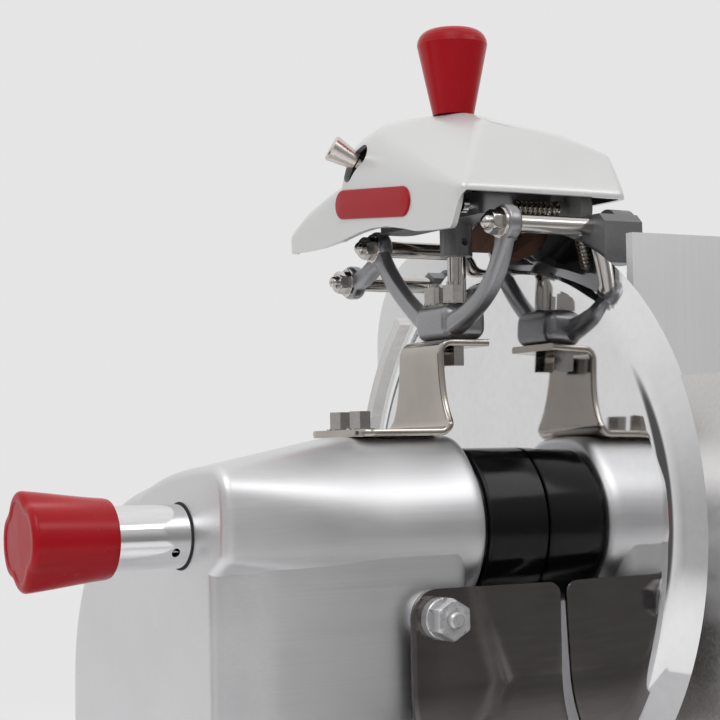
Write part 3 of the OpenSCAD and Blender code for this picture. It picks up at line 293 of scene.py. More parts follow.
# sharpener hood: the upper half of a skin of balls, carried straight down to a rim that hangs lower on the
# left; small balls along the shoulder (across, top) keep the left side flat below it, big ones (x, across,
# top, radius) round the crown; the inner face is the outer one stepped in by the wall along the same
# directions; "edge" is the rim's height along the left side, and "fine" the steps, round and up, by which the
# mesh is spaced
hood = {"left": -58.5, "right": 40.5, "near": -59.5, "far": 61.0, "rim": 161.5, "wall": 3.0, "sharp": 2.2,
        "cornerR": 6.0, "nearCornerR": 3.5, "cornerUp": 1.0, "shoulderR": 4.0, "edgeFrom": 1.5,
        "edgeRun": 2.0, "edgeSoft": 11, "edgeSteps": 400, "leastDrop": 0.3, "skirtRows": 7, "mesh": (400, 60),
        "fine": (6000, 600), "byLength": 0.8,
        "shoulder": [(58, 177), (42, 181.5), (27, 182), (0, 180), (-26, 175), (-42, 169.5)],
        "crown": [(-24.5, 1, 208.4, 15), (-24.5, -9, 208.2, 14), (-14, 2, 208.2, 14), (-38, 30, 209.4, 18),
                  (-41, 42, 206, 15), (-46, 48, 200.5, 12), (-28, -30, 202, 9), (10, -34, 197, 11),
                  (29, -37, 189.5, 9), (34, -43, 187, 6.5), (30, 30, 184, 10), (4, 18, 197, 14)],
        "edge": [(-62, 161.5), (-59.3, 161), (-50.8, 144.4), (-49, 144.1), (-33, 144.7), (-18, 145.9),
                 (-7, 148.3), (10, 151.3), (25, 152), (37, 151.4), (57, 149), (79, 147.4), (100, 147.4),
                 (124, 148.2)]}
# beak: the hood's long far end, the same way, from balls (x, across, height, radius)
beak = {"balls": [(-53.5, 114.5, 156, 5), (-53.5, 93, 165.7, 5), (-53.5, 64, 173, 5), (-53.5, 20, 174, 5),
                  (-35.5, 66, 166, 6), (-23.5, 40, 170, 6), (10, 20, 168, 5)],
        "rimUp": 3.0, "edgeFrom": 6.0, "mesh": (300, 40)}
# the inner faces of each shell wear the dark casting's colour as painted shade
shadedLining = {}  # which faces of each shell lie inside


# shell: rows of directions from the rim up to the crown, spaced evenly over the skin of the balls, then the
# skirt below them, and the same rows again one wall further in
def shellOf(name, balls, plainRim, edgeFrom, mesh):
    balls = np.array(balls, float)
    centres, radii = balls[:, :3], balls[:, 3]
    cols, rows = mesh
    skirt = hood["skirtRows"]
    fineRound, fineUp = hood["fine"]
    fine = np.linspace(0, 2 * np.pi, fineRound)
    flat = np.stack([np.cos(fine), np.sin(fine), np.zeros_like(fine)], -1)
    phi = evenly(fine, skin(flat, centres, radii, hood["sharp"]), cols + 1)[:-1, None]
    rise = quarterTurn(fineUp)
    lines = skin(directions(rise[None], phi), centres, radii, hood["sharp"])
    tilt = np.stack([evenly(rise, line, rows, hood["byLength"]) for line in lines])
    n = directions(tilt, phi).transpose(1, 0, 2)[:-1]
    upper = skin(n, centres, radii, hood["sharp"])
    ring = upper[0]
    low = np.minimum(rimHeight(ring, plainRim, edgeFrom), ring[:, 2] - hood["leastDrop"])
    skirtRows = np.repeat(ring[None], skirt, 0)
    skirtRows[..., 2] = low + (ring[:, 2] - low) * np.linspace(0, 1, skirt + 1)[:-1, None]
    outer = np.concatenate([skirtRows, upper])
    inner = outer - hood["wall"] * np.concatenate([np.repeat(n[:1], skirt, 0), n])
    piece = gridPiece(name, np.concatenate([outer[::-1], inner]), "frame")
    # the inner rows and the inner crown are marked to wear painted shade
    shadedLining[piece] = np.concatenate([np.repeat(np.arange(2 * len(outer) - 1) >= len(outer), cols),
                                    np.repeat([False, True], cols)])
    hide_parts("sharpener_cover")
    return piece


# height of the rim: the left edge's own line of heights, softened, on the left, and the plain rim elsewhere
def rimHeight(ring, plain, edgeFrom):
    y, z = np.array(hood["edge"], float).T
    fine = np.linspace(y[0], y[-1], hood["edgeSteps"])
    soft = np.hanning(hood["edgeSoft"])
    line = np.convolve(np.pad(np.interp(fine, y, z), len(soft) // 2, "edge"), soft / soft.sum(), "valid")
    start = hood["left"] + edgeFrom
    left = 1 - smooth(ring[:, 0], start, start + hood["edgeRun"])
    return plain + left * (np.interp(ring[:, 1], fine, line) - plain)


# the lever's slot: a band round the lever's pin, with round ends, cut through the hood's left side
slot = {"pin": (26.0, 158.0), "radius": 36.0, "half": 5.2, "middle": 58.5, "spread": 12.0,
        "reach": (-75.0, -48.0), "sideSteps": 12, "endSteps": 14, "doubled": 0.05}


def cutSlot(piece):
    radius, half = slot["radius"], slot["half"]
    run = np.radians(slot["middle"] + slot["spread"] * np.linspace(-1, 1, slot["sideSteps"]))
    end = np.linspace(0, np.pi, slot["endSteps"])
    loop = np.concatenate([(radius + half) * circleOf(run),
                           radius * circleOf(run[-1:]) + half * circleOf(run[-1] + end),
                           (radius - half) * circleOf(run[::-1]),
                           radius * circleOf(run[:1]) + half * circleOf(run[0] + np.pi + end)])
    apart = np.linalg.norm(loop - np.roll(loop, 1, 0), axis=1) > slot["doubled"]  # leaves out doubled points
    loop = loop[apart] + slot["pin"]
    cutter = gridPiece("slotCutter", alongX(slot["reach"], np.stack([loop, loop])), "frame")
    trim = piece.modifiers.new("slot", "BOOLEAN")
    trim.object = cutter
    trim.operation = "DIFFERENCE"
    trim.solver = "EXACT"
    mesh = bpy.data.meshes.new_from_object(piece.evaluated_get(bpy.context.evaluated_depsgraph_get()))
    piece.modifiers.clear()
    piece.data = mesh
    mesh.set_sharp_from_angle(angle=crease)
    bpy.data.objects.remove(cutter)


def makeHood():
    k = hood
    r, up = k["cornerR"], k["rim"] + k["cornerUp"]
    balls = [(x, y, up, r) for x in (k["left"] + r, k["right"] - r) for y in (k["near"] + r, k["far"] - r)]
    nearR, shoulderR = k["nearCornerR"], k["shoulderR"]
    balls += [(k["left"] + nearR, k["near"] + nearR, up, nearR)]
    balls += [(k["left"] + shoulderR, y, top - shoulderR, shoulderR) for y, top in k["shoulder"]]
    balls += [(x, y, top - r, r) for x, y, top, r in k["crown"]]
    return shellOf("hoodDome", balls, k["rim"], k["edgeFrom"], k["mesh"])


def makeBeak():
    return shellOf("hoodBeak", beak["balls"], hood["rim"] + beak["rimUp"], beak["edgeFrom"], beak["mesh"])


# badge: a bare pill on the hood's left side; rings step in from its outline, over a round edge to a low dome
badge = {"y": 24.0, "z": 164.8, "length": 76.0, "height": 15.4, "tilt": 5.3, "back": -58.4, "thick": 2.2,
         "edge": 0.9, "foot": 0.4, "domeIn": 1.4, "domeTo": 0.4, "domeUp": (0.05, 0.5), "endSteps": 40,
         "arc": 7, "domeRows": 9}


def makeBadge():
    k = badge
    half = k["height"] / 2
    end = np.linspace(-np.pi / 2, np.pi / 2, k["endSteps"])
    n = np.concatenate([circleOf(end), circleOf(end + np.pi)])
    spine = np.zeros_like(n)
    spine[:, 0] = np.repeat([1, -1], len(end)) * (k["length"] / 2 - half)
    turn = quarterTurn(k["arc"])
    radius = np.concatenate([[half, half], half - k["edge"] * (1 - np.cos(turn)),
                             np.linspace(half - k["domeIn"], k["domeTo"], k["domeRows"])])
    lift = np.concatenate([[0, k["foot"]], k["thick"] - k["edge"] * (1 - np.sin(turn)),
                           np.linspace(*k["domeUp"], k["domeRows"]) + k["thick"]])
    flat = spine + radius[:, None, None] * n
    c, t = np.cos(np.radians(k["tilt"])), np.sin(np.radians(k["tilt"]))
    across, up = flat[..., 0], flat[..., 1]
    rows = np.stack([k["y"] + across * c - up * t, k["z"] + across * t + up * c], -1)
    piece = gridPiece("redBadge", alongX(k["back"] - lift, rows), "frame")
    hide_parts("cover_badge")
    return piece


# directions of length 1 along a path
def wayAlong(path):
    way = np.gradient(path, axis=0)
    return way / np.linalg.norm(way, axis=1)[:, None]


# a section carried along a path: each path point takes the section's two numbers across the way it runs
def sweep(path, across, section):
    across = np.broadcast_to(np.asarray(across, float), path.shape)
    side = np.cross(across, wayAlong(path))
    return path[:, None] + section[..., :1] * side[:, None] + section[..., 1:] * across[:, None]


# rounded box section: a circle whose cosine and sine are raised to a small power
def roundSection(halfA, halfB, power, count):
    c = circleOf(fullTurn(count))
    c = np.sign(c) * np.abs(c) ** power
    return np.stack([np.multiply.outer(halfA, c[:, 0]), np.multiply.outer(halfB, c[:, 1])], -1)


# a profile of distance along the blade's axis and radius, turned round a line beside that axis
def turnedX(name, profile, y, z, body, count=64):
    x, radius = np.array(profile, float).T
    return gridPiece(name, alongX(x, radius[:, None, None] * circleOf(fullTurn(count)) + (y, z)), body)


# a smooth bend from a to c that heads for b at both ends
def curveOf(a, b, c, count):
    t = np.linspace(0, 1, count)[:, None]
    a, b, c = np.array([a, b, c], float)
    return (1 - t) ** 2 * a + 2 * t * (1 - t) * b + t ** 2 * c


# rounded box: the skin of a ball at each corner, in rows of directions from below to above; "rise" lists
# (degrees from, to, rows)
boxMesh = {"around": 96, "rise": [(-89.9, -60, 14), (-59, 59, 40), (60, 89.9, 14)]}


def ballBox(name, corners, sharp, body):
    corners = np.array(corners, float)
    rise = np.radians(np.concatenate([np.linspace(*part) for part in boxMesh["rise"]]))
    n = directions(rise[:, None], fullTurn(boxMesh["around"]))
    return gridPiece(name, skin(n, corners[:, :3], corners[:, 3], sharp), body)


# fork: a rounded block, two curved arms and a branch of rounded section, and a boss for each guide rod
rods = {"rear": (61.9, 145.9), "low": (90.5, 130.2), "front": (-60.9, 146.3)}
fork = {"block": (-41.4, -16.6, 16.4, 93.05, 111.4), "round": 6.0, "blockSharp": 6.0, "armX": -34.4,
        "half": 4.5, "power": 0.72, "thick": 4.4, "startThin": (1.0, 0.2), "endWide": 0.2, "startRun": 0.13,
        "endRun": 0.16, "bossX": (-37.5, -29.5), "bossR": 9.0, "bossRound": (1.8, 3.2), "steps": 48, "arc": 7}
# each arm: its three points, how much fatter it starts and ends, and how much thinner or thicker it ends
forkArms = {"forkRearArm": ([rods["rear"], (40, 115), (8, 101)], 0.5, 0.25, 1.5),
            "forkFrontArm": ([rods["front"], (-55.5, 110), (-8, 99.5)], 0.5, 0.3, 1.5),
            "forkBranch": ([(60, 141), (74, 130), rods["low"]], 0.35, 0.7, -1.0)}


def makeFork():
    k = fork
    x0, x1, half, z0, z1 = k["block"]
    r = k["round"]
    corners = [(x, y, z, r) for x in (x0 + r, x1 - r) for y in (r - half, half - r) for z in (z0 + r, z1 - r)]
    pieces = [ballBox("forkBlock", corners, k["blockSharp"], "frame")]
    u = np.linspace(0, 1, k["steps"])
    for name, (points, startFat, endFat, endThick) in forkArms.items():
        path = np.concatenate([np.full((len(u), 1), k["armX"]), curveOf(*points, len(u))], -1)
        fat = 1 + startFat * bell(u, k["startRun"]) + endFat * bell(1 - u, k["endRun"])
        thinner, overRun = k["startThin"]
        thick = k["thick"] - thinner * bell(u, overRun) + endThick * bell(1 - u, k["endWide"])
        section = roundSection(k["half"] * fat, thick, k["power"], k["steps"])
        pieces.append(gridPiece(name, sweep(path, (1, 0, 0), section), "frame"))
    turn = quarterTurn(k["arc"])
    back, inward = 1 - np.sin(turn), 1 - np.cos(turn)
    (nearX, farX), (nearR, farR) = k["bossX"], k["bossRound"]
    near = np.stack([nearX + nearR * back, k["bossR"] - nearR * inward], -1)[::-1]
    far = np.stack([farX - farR * back, k["bossR"] - farR * inward], -1)
    for label, (y, z) in rods.items():
        pieces.append(turnedX("forkBoss" + label.capitalize(), np.vstack([near, far]), y, z, "frame"))
    for piece in pieces:
        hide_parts("sharpener_fork")
    return pieces


# acorn nuts: radius over height, a washer, then a hexagon whose corners a cone trims, then a small dome;
# "trims" lists (distance below the hexagon's top, how far its corners may stand out there)
acorn = {"faceX": fork["bossX"][0], "washerR": 7.6, "washer": 1.5, "flats": 10.6, "height": 5.6, "dome": 3.5,
         "domeUp": 0.85, "domeFoot": 1.0, "domeStep": 0.4, "washerEdge": 0.3, "hexFoot": 0.02,
         "trims": [(1.0, 0.9), (0.5, 0.45), (0.1, 0.1)], "around": 96, "domeRise": (0, 89, 8)}


def makeNuts():
    k = acorn
    angle = fullTurn(k["around"])
    hexR = hexRadius(k["flats"], angle)
    one = np.ones_like(angle)
    w, top, half = k["washer"], k["washer"] + k["height"], k["flats"] / 2
    edge, washerR = k["washerEdge"], k["washerR"]
    rows = [(0, one * washerR), (w - edge, one * washerR), (w, one * (washerR - edge)),
            (w, hexR + k["hexFoot"]), (w + edge, hexR)]
    rows += [(top - down, np.minimum(hexR, half + out)) for down, out in k["trims"]]
    rows += [(top, one * (k["dome"] + k["domeStep"])), (top, one * k["dome"])]
    rows += [(top + k["domeFoot"] + k["dome"] * np.sin(a) * k["domeUp"], one * k["dome"] * np.cos(a))
             for a in np.radians(np.arange(*k["domeRise"]))]
    depth, radius = np.array([r[0] for r in rows]), np.stack([r[1] for r in rows])
    pieces = []
    for label, place in rods.items():
        grid = alongX(k["faceX"] - depth, radius[..., None] * circleOf(angle) + place)
        piece = gridPiece("acornNut" + label.capitalize(), grid, "frame")
        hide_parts("dome_nuts")
        pieces.append(piece)
    return pieces


# section of a sheet with softly rounded edges, for each half width: how far along the width and off the
# middle; "lip" is how far an edge bulges, as a share of half the sheet
sheetEdge = {"lip": 0.5, "lipSteps": 7, "spanSteps": 28}


def sheetLoop(half, t):
    k = sheetEdge
    turn = np.linspace(-np.pi / 2, np.pi / 2, k["lipSteps"])
    edge = np.stack([np.cos(turn) * k["lip"], np.sin(turn)], -1) * t
    span = np.linspace(1, -1, k["spanSteps"] + 2)[1:-1]
    flat = half[:, None] - k["lip"] * t
    across = np.concatenate([flat + edge[:, 0], flat * span, -flat - edge[::-1, 0], -flat * span], 1)
    lift = np.concatenate([edge[:, 1], np.full(len(span), t), edge[::-1, 1], np.full(len(span), -t)])
    return across, np.broadcast_to(lift, across.shape)


# bracket: a bent sheet; its middle line runs along the foot, turns up the web and over the top, round at both
# bends, and its half width follows the line: rounded at the foot's end, flared where the web leaves the foot
bracket = {"footX": -97.0, "webX": -46.5, "topX": -18.0, "footZ": 46.8, "topZ": 91.3, "bend": 6.0,
           "sheet": 3.5, "half": 28.0, "neck": 18.6, "flare": 10.5, "flareZ": 49.5, "fade": 13.0,
           "corner": 8.0, "flareFrom": 0.6, "arc": 14, "rows": (39, 40, 13)}


def makeBracket():
    k = bracket
    b = k["bend"]
    turn = quarterTurn(k["arc"])
    footRows, webRows, topRows = k["rows"]
    footX = np.linspace(k["footX"], k["webX"] - b, footRows + 1)[:-1]
    webZ = np.linspace(k["footZ"] + b, k["topZ"] - b, webRows + 2)[1:-1]
    topX = np.linspace(k["webX"] + b, k["topX"], topRows + 1)[1:]
    foot = np.stack([footX, np.full_like(footX, k["footZ"])], -1)
    low = np.stack([k["webX"] - b + b * np.sin(turn), k["footZ"] + b * (1 - np.cos(turn))], -1)
    web = np.stack([np.full_like(webZ, k["webX"]), webZ], -1)
    high = np.stack([k["webX"] + b * (1 - np.cos(turn)), k["topZ"] - b + b * np.sin(turn)], -1)
    top = np.stack([topX, np.full_like(topX, k["topZ"])], -1)
    line = np.vstack([foot, low, web, high, top])
    x, z = line.T
    inset = np.maximum(k["corner"] - (x - k["footX"]), 0)
    half = k["half"] - k["corner"] + np.sqrt(np.maximum(k["corner"] ** 2 - inset ** 2, 0))
    flared = np.minimum(k["neck"] + k["flare"] * np.exp(-(z - k["flareZ"]) / k["fade"]), k["half"])
    half = np.where(x > k["webX"] - k["flareFrom"] * b, flared, half)
    path = np.stack([x, np.zeros_like(x), z], -1)
    across, lift = sheetLoop(half, k["sheet"] / 2)
    up = np.cross(wayAlong(path), (0, 1, 0))
    grid = path[:, None] + across[..., None] * np.array([0, 1.0, 0]) - lift[..., None] * up[:, None]
    piece = gridPiece("bentBracket", grid, "frame")
    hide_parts("sharpener_bracket")
    return piece


# return spring: a round wire carried along a screw line, baked in place and carried by no body
coil = {"x": (-20.4, 8.4), "y": -40.0, "z": 157.0, "radius": 3.35, "wire": 0.45, "turns": 10,
        "turnSteps": 36, "wireSteps": 12}


def makeSpring():
    k = coil
    t = np.linspace(0, 1, k["turns"] * k["turnSteps"] + 1)
    angle = 2 * np.pi * k["turns"] * t
    x = k["x"][0] + (k["x"][1] - k["x"][0]) * t
    out = np.concatenate([np.zeros((len(t), 1)), circleOf(angle)], -1)
    path = np.stack([x, np.full_like(x, k["y"]), np.full_like(x, k["z"])], -1) + k["radius"] * out
    ring = circleOf(fullTurn(k["wireSteps"])) * k["wire"]
    grid = path[:, None] + ring[:, :1] * out[:, None] + ring[:, 1:] * np.array([1.0, 0, 0])
    piece = gridPiece("returnSpring", grid, None)
    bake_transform(piece)
    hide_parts("return_spring")
    return piece


# blade: one profile of radius and distance along the axis, turned round the axis; the polished face is a flat
# cone, then a round band steepens, as part of a circle does, to the cone of the bevel; "back" lists the
# points of the back face, each counted from two of the sizes: (radius, more, height, more)
blade = {"bore": 20.05, "web": 3.2, "coneR": 46.0, "lean": 3.0, "bandR": 126.0, "bevelR": 139.0,
         "radius": 150.0, "band": 3.4, "edge": 12.5, "around": 720, "runSteps": 16,
         "back": [("radius", -1, "edge", 0.4), ("radius", -7, "edge", -0.4), ("bevelR", 0, "edge", -2.2),
                  ("bandR", 2, "web", 3.2), ("bandR", -7, "web", 1.2), ("coneR", 0, "web", 0)]}


def makeBlade():
    k = blade
    run = np.linspace(0, 1, k["runSteps"])
    cone = np.stack([k["coneR"] + (k["bandR"] - k["coneR"]) * run, k["lean"] * run], -1)
    slope = k["lean"] / (k["bandR"] - k["coneR"])
    width = k["bevelR"] - k["bandR"]
    run = run[1:]
    band = np.stack([k["bandR"] + width * run, k["lean"] + slope * width * run + k["band"] * run ** 2], -1)
    start = band[-1, 1]
    cut = np.stack([k["bevelR"] + (k["radius"] - k["bevelR"]) * run, start + (k["edge"] - start) * run], -1)
    backFace = [(k[size] + out, k[height] + up) for size, out, height, up in k["back"]]
    profile = np.vstack([[(k["bore"], 0)], cone, band, cut, backFace, [(k["bore"], k["web"])]])
    rows = profile[:, 0][:, None, None] * circleOf(fullTurn(k["around"]))
    piece = gridPiece("sliceBlade", alongX(profile[:, 1], rows), "blade_unit", True)
    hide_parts("blade")
    return piece


# collar: a circle whose top is cut flat, by the softer of the two distances; a groove beside the head, a
# round lip, a plain run to the blade, and the bore
collar = {"startX": -38.0, "endX": -0.6, "radius": 42.8, "top": 38.9, "groove": 3.0, "depth": 2.2, "lip": 2.0,
          "rim": 0.6, "bore": 36.0, "soft": 0.9, "leastRise": 0.1, "around": 256, "arc": 9}


def makeCollar():
    k = collar
    angle = fullTurn(k["around"])
    rise = np.maximum(np.sin(angle), k["leastRise"])
    outline = -np.logaddexp(-k["soft"] * k["radius"], -k["soft"] * k["top"] / rise) / k["soft"]
    turn = quarterTurn(k["arc"])
    start, grooveEnd, end = k["startX"], k["startX"] + k["groove"], k["endX"]
    lipX = grooveEnd + k["lip"] * (1 - np.cos(turn))
    x = np.concatenate([[start, grooveEnd], lipX, [end - k["rim"], end, end, start]])
    inset = np.concatenate([[k["depth"], k["depth"]], k["lip"] * (1 - np.sin(turn)), [0, k["rim"]]])
    radius = np.concatenate([outline - inset[:, None], np.full((2, len(angle)), k["bore"])])
    piece = gridPiece("hubCollar", alongX(x, radius[..., None] * circleOf(angle)), "frame", True)
    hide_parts("hub_collar")
    return piece


# deflector: a sheet that hangs straight and then bends away; its ends step in round the two upper corners;
# "between" lists the rows from the corner down to the bend
deflector = {"leftX": -86.0, "rightX": -1.0, "y": -51.0, "top": -27.0, "flat": 44.0, "bend": 63.0,
             "sweep": 58.0, "sheet": 2.0, "leftR": 14.0, "rightR": 6.5, "between": (20.0, 30.0), "arc": 24,
             "bendSteps": 30}


def makeDeflector():
    k = deflector
    drop = np.concatenate([k["leftR"] * (1 - np.cos(quarterTurn(k["arc"]))), k["between"], [k["flat"]]])
    hang = np.stack([np.full_like(drop, k["y"]), k["top"] - drop], -1)
    turn = np.radians(np.linspace(0, k["sweep"], k["bendSteps"]))[1:]
    bent = hang[-1] - k["bend"] * np.stack([1 - np.cos(turn), np.sin(turn)], -1)
    line = np.vstack([hang, bent])
    down = np.concatenate([drop, np.full(len(turn), k["flat"])])
    inset = [r - np.sqrt(r ** 2 - np.maximum(r - down, 0) ** 2) for r in (k["leftR"], k["rightR"])]
    left, right = k["leftX"] + inset[0], k["rightX"] - inset[1]
    across, lift = sheetLoop((right - left) / 2, k["sheet"] / 2)
    path = np.concatenate([((left + right) / 2)[:, None], line], -1)
    out = np.cross(wayAlong(path * (0, 1, 1)), (1, 0, 0))
    grid = path[:, None] + across[..., None] * np.array([1.0, 0, 0]) + lift[..., None] * out[:, None]
    piece = gridPiece("deflectorSheet", grid, "frame")
    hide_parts("deflector_plate")
    return piece


# clamp nut: a round flange, a hexagon whose corners a cone trims, and the stud's end standing out of it;
# "trims" lists (distance below the hexagon's top, how far corners may stand out, how far the sides are in)
clampNut = {"x": -71.0, "y": -52.0, "z": -41.0, "flangeR": 10.0, "flange": 5.0, "flats": 17.5, "height": 9.0,
            "stud": 4.0, "out": 3.0, "back": 15.0, "flangeEdge": 0.5, "hexFoot": (0.02, 0.98), "hexFull": 0.4,
            "trims": [(1.2, 1.4, 0.0), (0.5, 0.9, 0.15), (0.0, 0.6, 0.6)], "hole": (0.7, 0.4),
            "studEdge": 1.0, "around": 96}


def makeClampNut():
    k = clampNut
    angle = fullTurn(k["around"])
    hexR = hexRadius(k["flats"], angle)
    one = np.ones_like(angle)
    f, h, half = k["flange"], k["flange"] + k["height"], k["flats"] / 2
    stud, flangeR, edge, end = k["stud"], k["flangeR"], k["flangeEdge"], k["studEdge"]
    (footUp, footIn), (holeWide, holeDeep) = k["hexFoot"], k["hole"]
    rows = [(-k["back"], one * stud), (0, one * stud), (0, one * flangeR), (f - edge, one * flangeR),
            (f, one * (flangeR - edge)), (f + footUp, hexR * footIn), (f + k["hexFull"], hexR)]
    rows += [(h - down, np.minimum(hexR, half + out) - inward) for down, out, inward in k["trims"]]
    rows += [(h, one * (stud + holeWide)), (h - holeDeep, one * stud), (h + k["out"] - end, one * stud),
             (h + k["out"], one * (stud - end))]
    depth, radius = np.array([r[0] for r in rows]), np.stack([r[1] for r in rows])
    ring = radius[..., None] * circleOf(angle)
    grid = np.stack([k["x"] + ring[..., 0], k["y"] - depth[:, None] + 0 * radius, k["z"] + ring[..., 1]], -1)
    piece = gridPiece("clampNut", grid, "frame")
    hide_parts("deflector_nut")
    return piece


# the rubber finish also goes on the gap shade ring, which is painted shade, not a seal
made = {"red": [makeSideKnob(), makeBadge()], "castAluminium": [makeHeadTunnel(), makeHeadPedestal()],
        "pearl": [makeHood(), makeBeak()], "bladeSteel": [makeBlade()], "greyCasting": makeFork(),
        "rodSteel": makeNuts(), "nickel": [makeBracket()], "rubber": [makeGapShade()], "spring": [makeSpring()],
        "blackGloss": [makeCollar()], "mirrorSheet": [makeDeflector()], "satinNut": [makeClampNut()]}
print("pieces made")


# a new node of the kind, with values for some of its inputs
def addNode(tree, kind, **values):
    node = tree.nodes.new("ShaderNode" + kind)
    for socket, value in values.items():
        node.inputs[socket].default_value = value
    return node


# a node that turns values from start to end into values from low to high
def rangeNode(tree, start, end, low=0.0, high=1.0):
    return addNode(tree, "MapRange", **{"From Min": start, "From Max": end, "To Min": low, "To Max": high})


# each link is written (node, output, node, input)
def wire(tree, *links):
    for source, gives, target, takes in links:
        tree.links.new(source.outputs[gives], target.inputs[takes])


# shared effects as node groups: each takes a size, two roughnesses and two colours, and gives a colour, a
# roughness and a height
def newGroup(name, sizeLabel, sizeKind):
    group = bpy.data.node_groups.new(name, "ShaderNodeTree")
    takes = [(sizeLabel, sizeKind), ("Low", "Float"), ("High", "Float"), ("Dark", "Color"),
             ("Light", "Color")]
    gives = [("Color", "Color"), ("Roughness", "Float"), ("Height", "Float")]
    for way, sockets in (("INPUT", takes), ("OUTPUT", gives)):
        for label, kind in sockets:
            group.interface.new_socket(label, in_out=way, socket_type="NodeSocket" + kind)
    return group, group.nodes.new("NodeGroupInput"), addNode(group, "TexCoord")


# each noise is (scale, detail, roughness), and the middle part of its values is drawn out over the whole
# range; "share" is how much the lines and the cloud each count
noiseMiddle = (0.35, 0.65)
grain = {"lines": (1.0, 5, 0.6), "cloud": (22.0, 4, 0.5), "share": 0.5}
pebble = {"lumps": (1.0, 3, 0.5), "cloud": (35.0, 4, 0.5)}


def noiseNode(group, scale, detail, rough):
    return addNode(group, "TexNoise", Scale=scale, Detail=detail, Roughness=rough)


# the group's end: one value spread over the roughnesses, one over the colours, and the height as it comes
def finishGroup(group, given, roughFrom, tintFrom, height):
    out, tint = group.nodes.new("NodeGroupOutput"), addNode(group, "Mix")
    rough = rangeNode(group, *noiseMiddle)
    tint.data_type = "RGBA"
    wire(group, (*roughFrom, rough, "Value"), (given, "Low", rough, "To Min"),
         (given, "High", rough, "To Max"), (*tintFrom, tint, "Factor"), (given, "Dark", tint, "A"),
         (given, "Light", tint, "B"), (tint, "Result", out, "Color"), (rough, "Result", out, "Roughness"),
         (*height, out, "Height"))
    return group


# fine lines drawn out along one axis, half and half with soft blotches
def makeGrainGroup():
    group, given, spot = newGroup("drawnGrain", "Stretch", "Vector")
    pull, mixed, half = (addNode(group, kind) for kind in ("Mapping", "Math", "Math"))
    lines, cloud = noiseNode(group, *grain["lines"]), noiseNode(group, *grain["cloud"])
    tone = rangeNode(group, *noiseMiddle)
    mixed.operation, half.operation = "MULTIPLY_ADD", "MULTIPLY"
    mixed.inputs[1].default_value = half.inputs[1].default_value = grain["share"]
    wire(group, (spot, "Object", pull, "Vector"), (given, "Stretch", pull, "Scale"),
         (pull, "Vector", lines, "Vector"), (spot, "Object", cloud, "Vector"), (cloud, "Fac", half, 0),
         (lines, "Fac", mixed, 0), (half, 0, mixed, 2), (mixed, 0, tone, "Value"))
    return finishGroup(group, given, (mixed, 0), (tone, "Result"), (lines, "Fac"))


# pebbled skin of a casting or moulding: fine lumps that tint the colour, and blotches of roughness
def makePebbleGroup():
    group, given, spot = newGroup("pebbleSkin", "Size", "Float")
    lumps, cloud = noiseNode(group, *pebble["lumps"]), noiseNode(group, *pebble["cloud"])
    wire(group, (given, "Size", lumps, "Scale"), (spot, "Object", lumps, "Vector"),
         (spot, "Object", cloud, "Vector"))
    return finishGroup(group, given, (cloud, "Fac"), (lumps, "Fac"), (lumps, "Fac"))


grainGroup = makeGrainGroup()
pebbleGroup = makePebbleGroup()

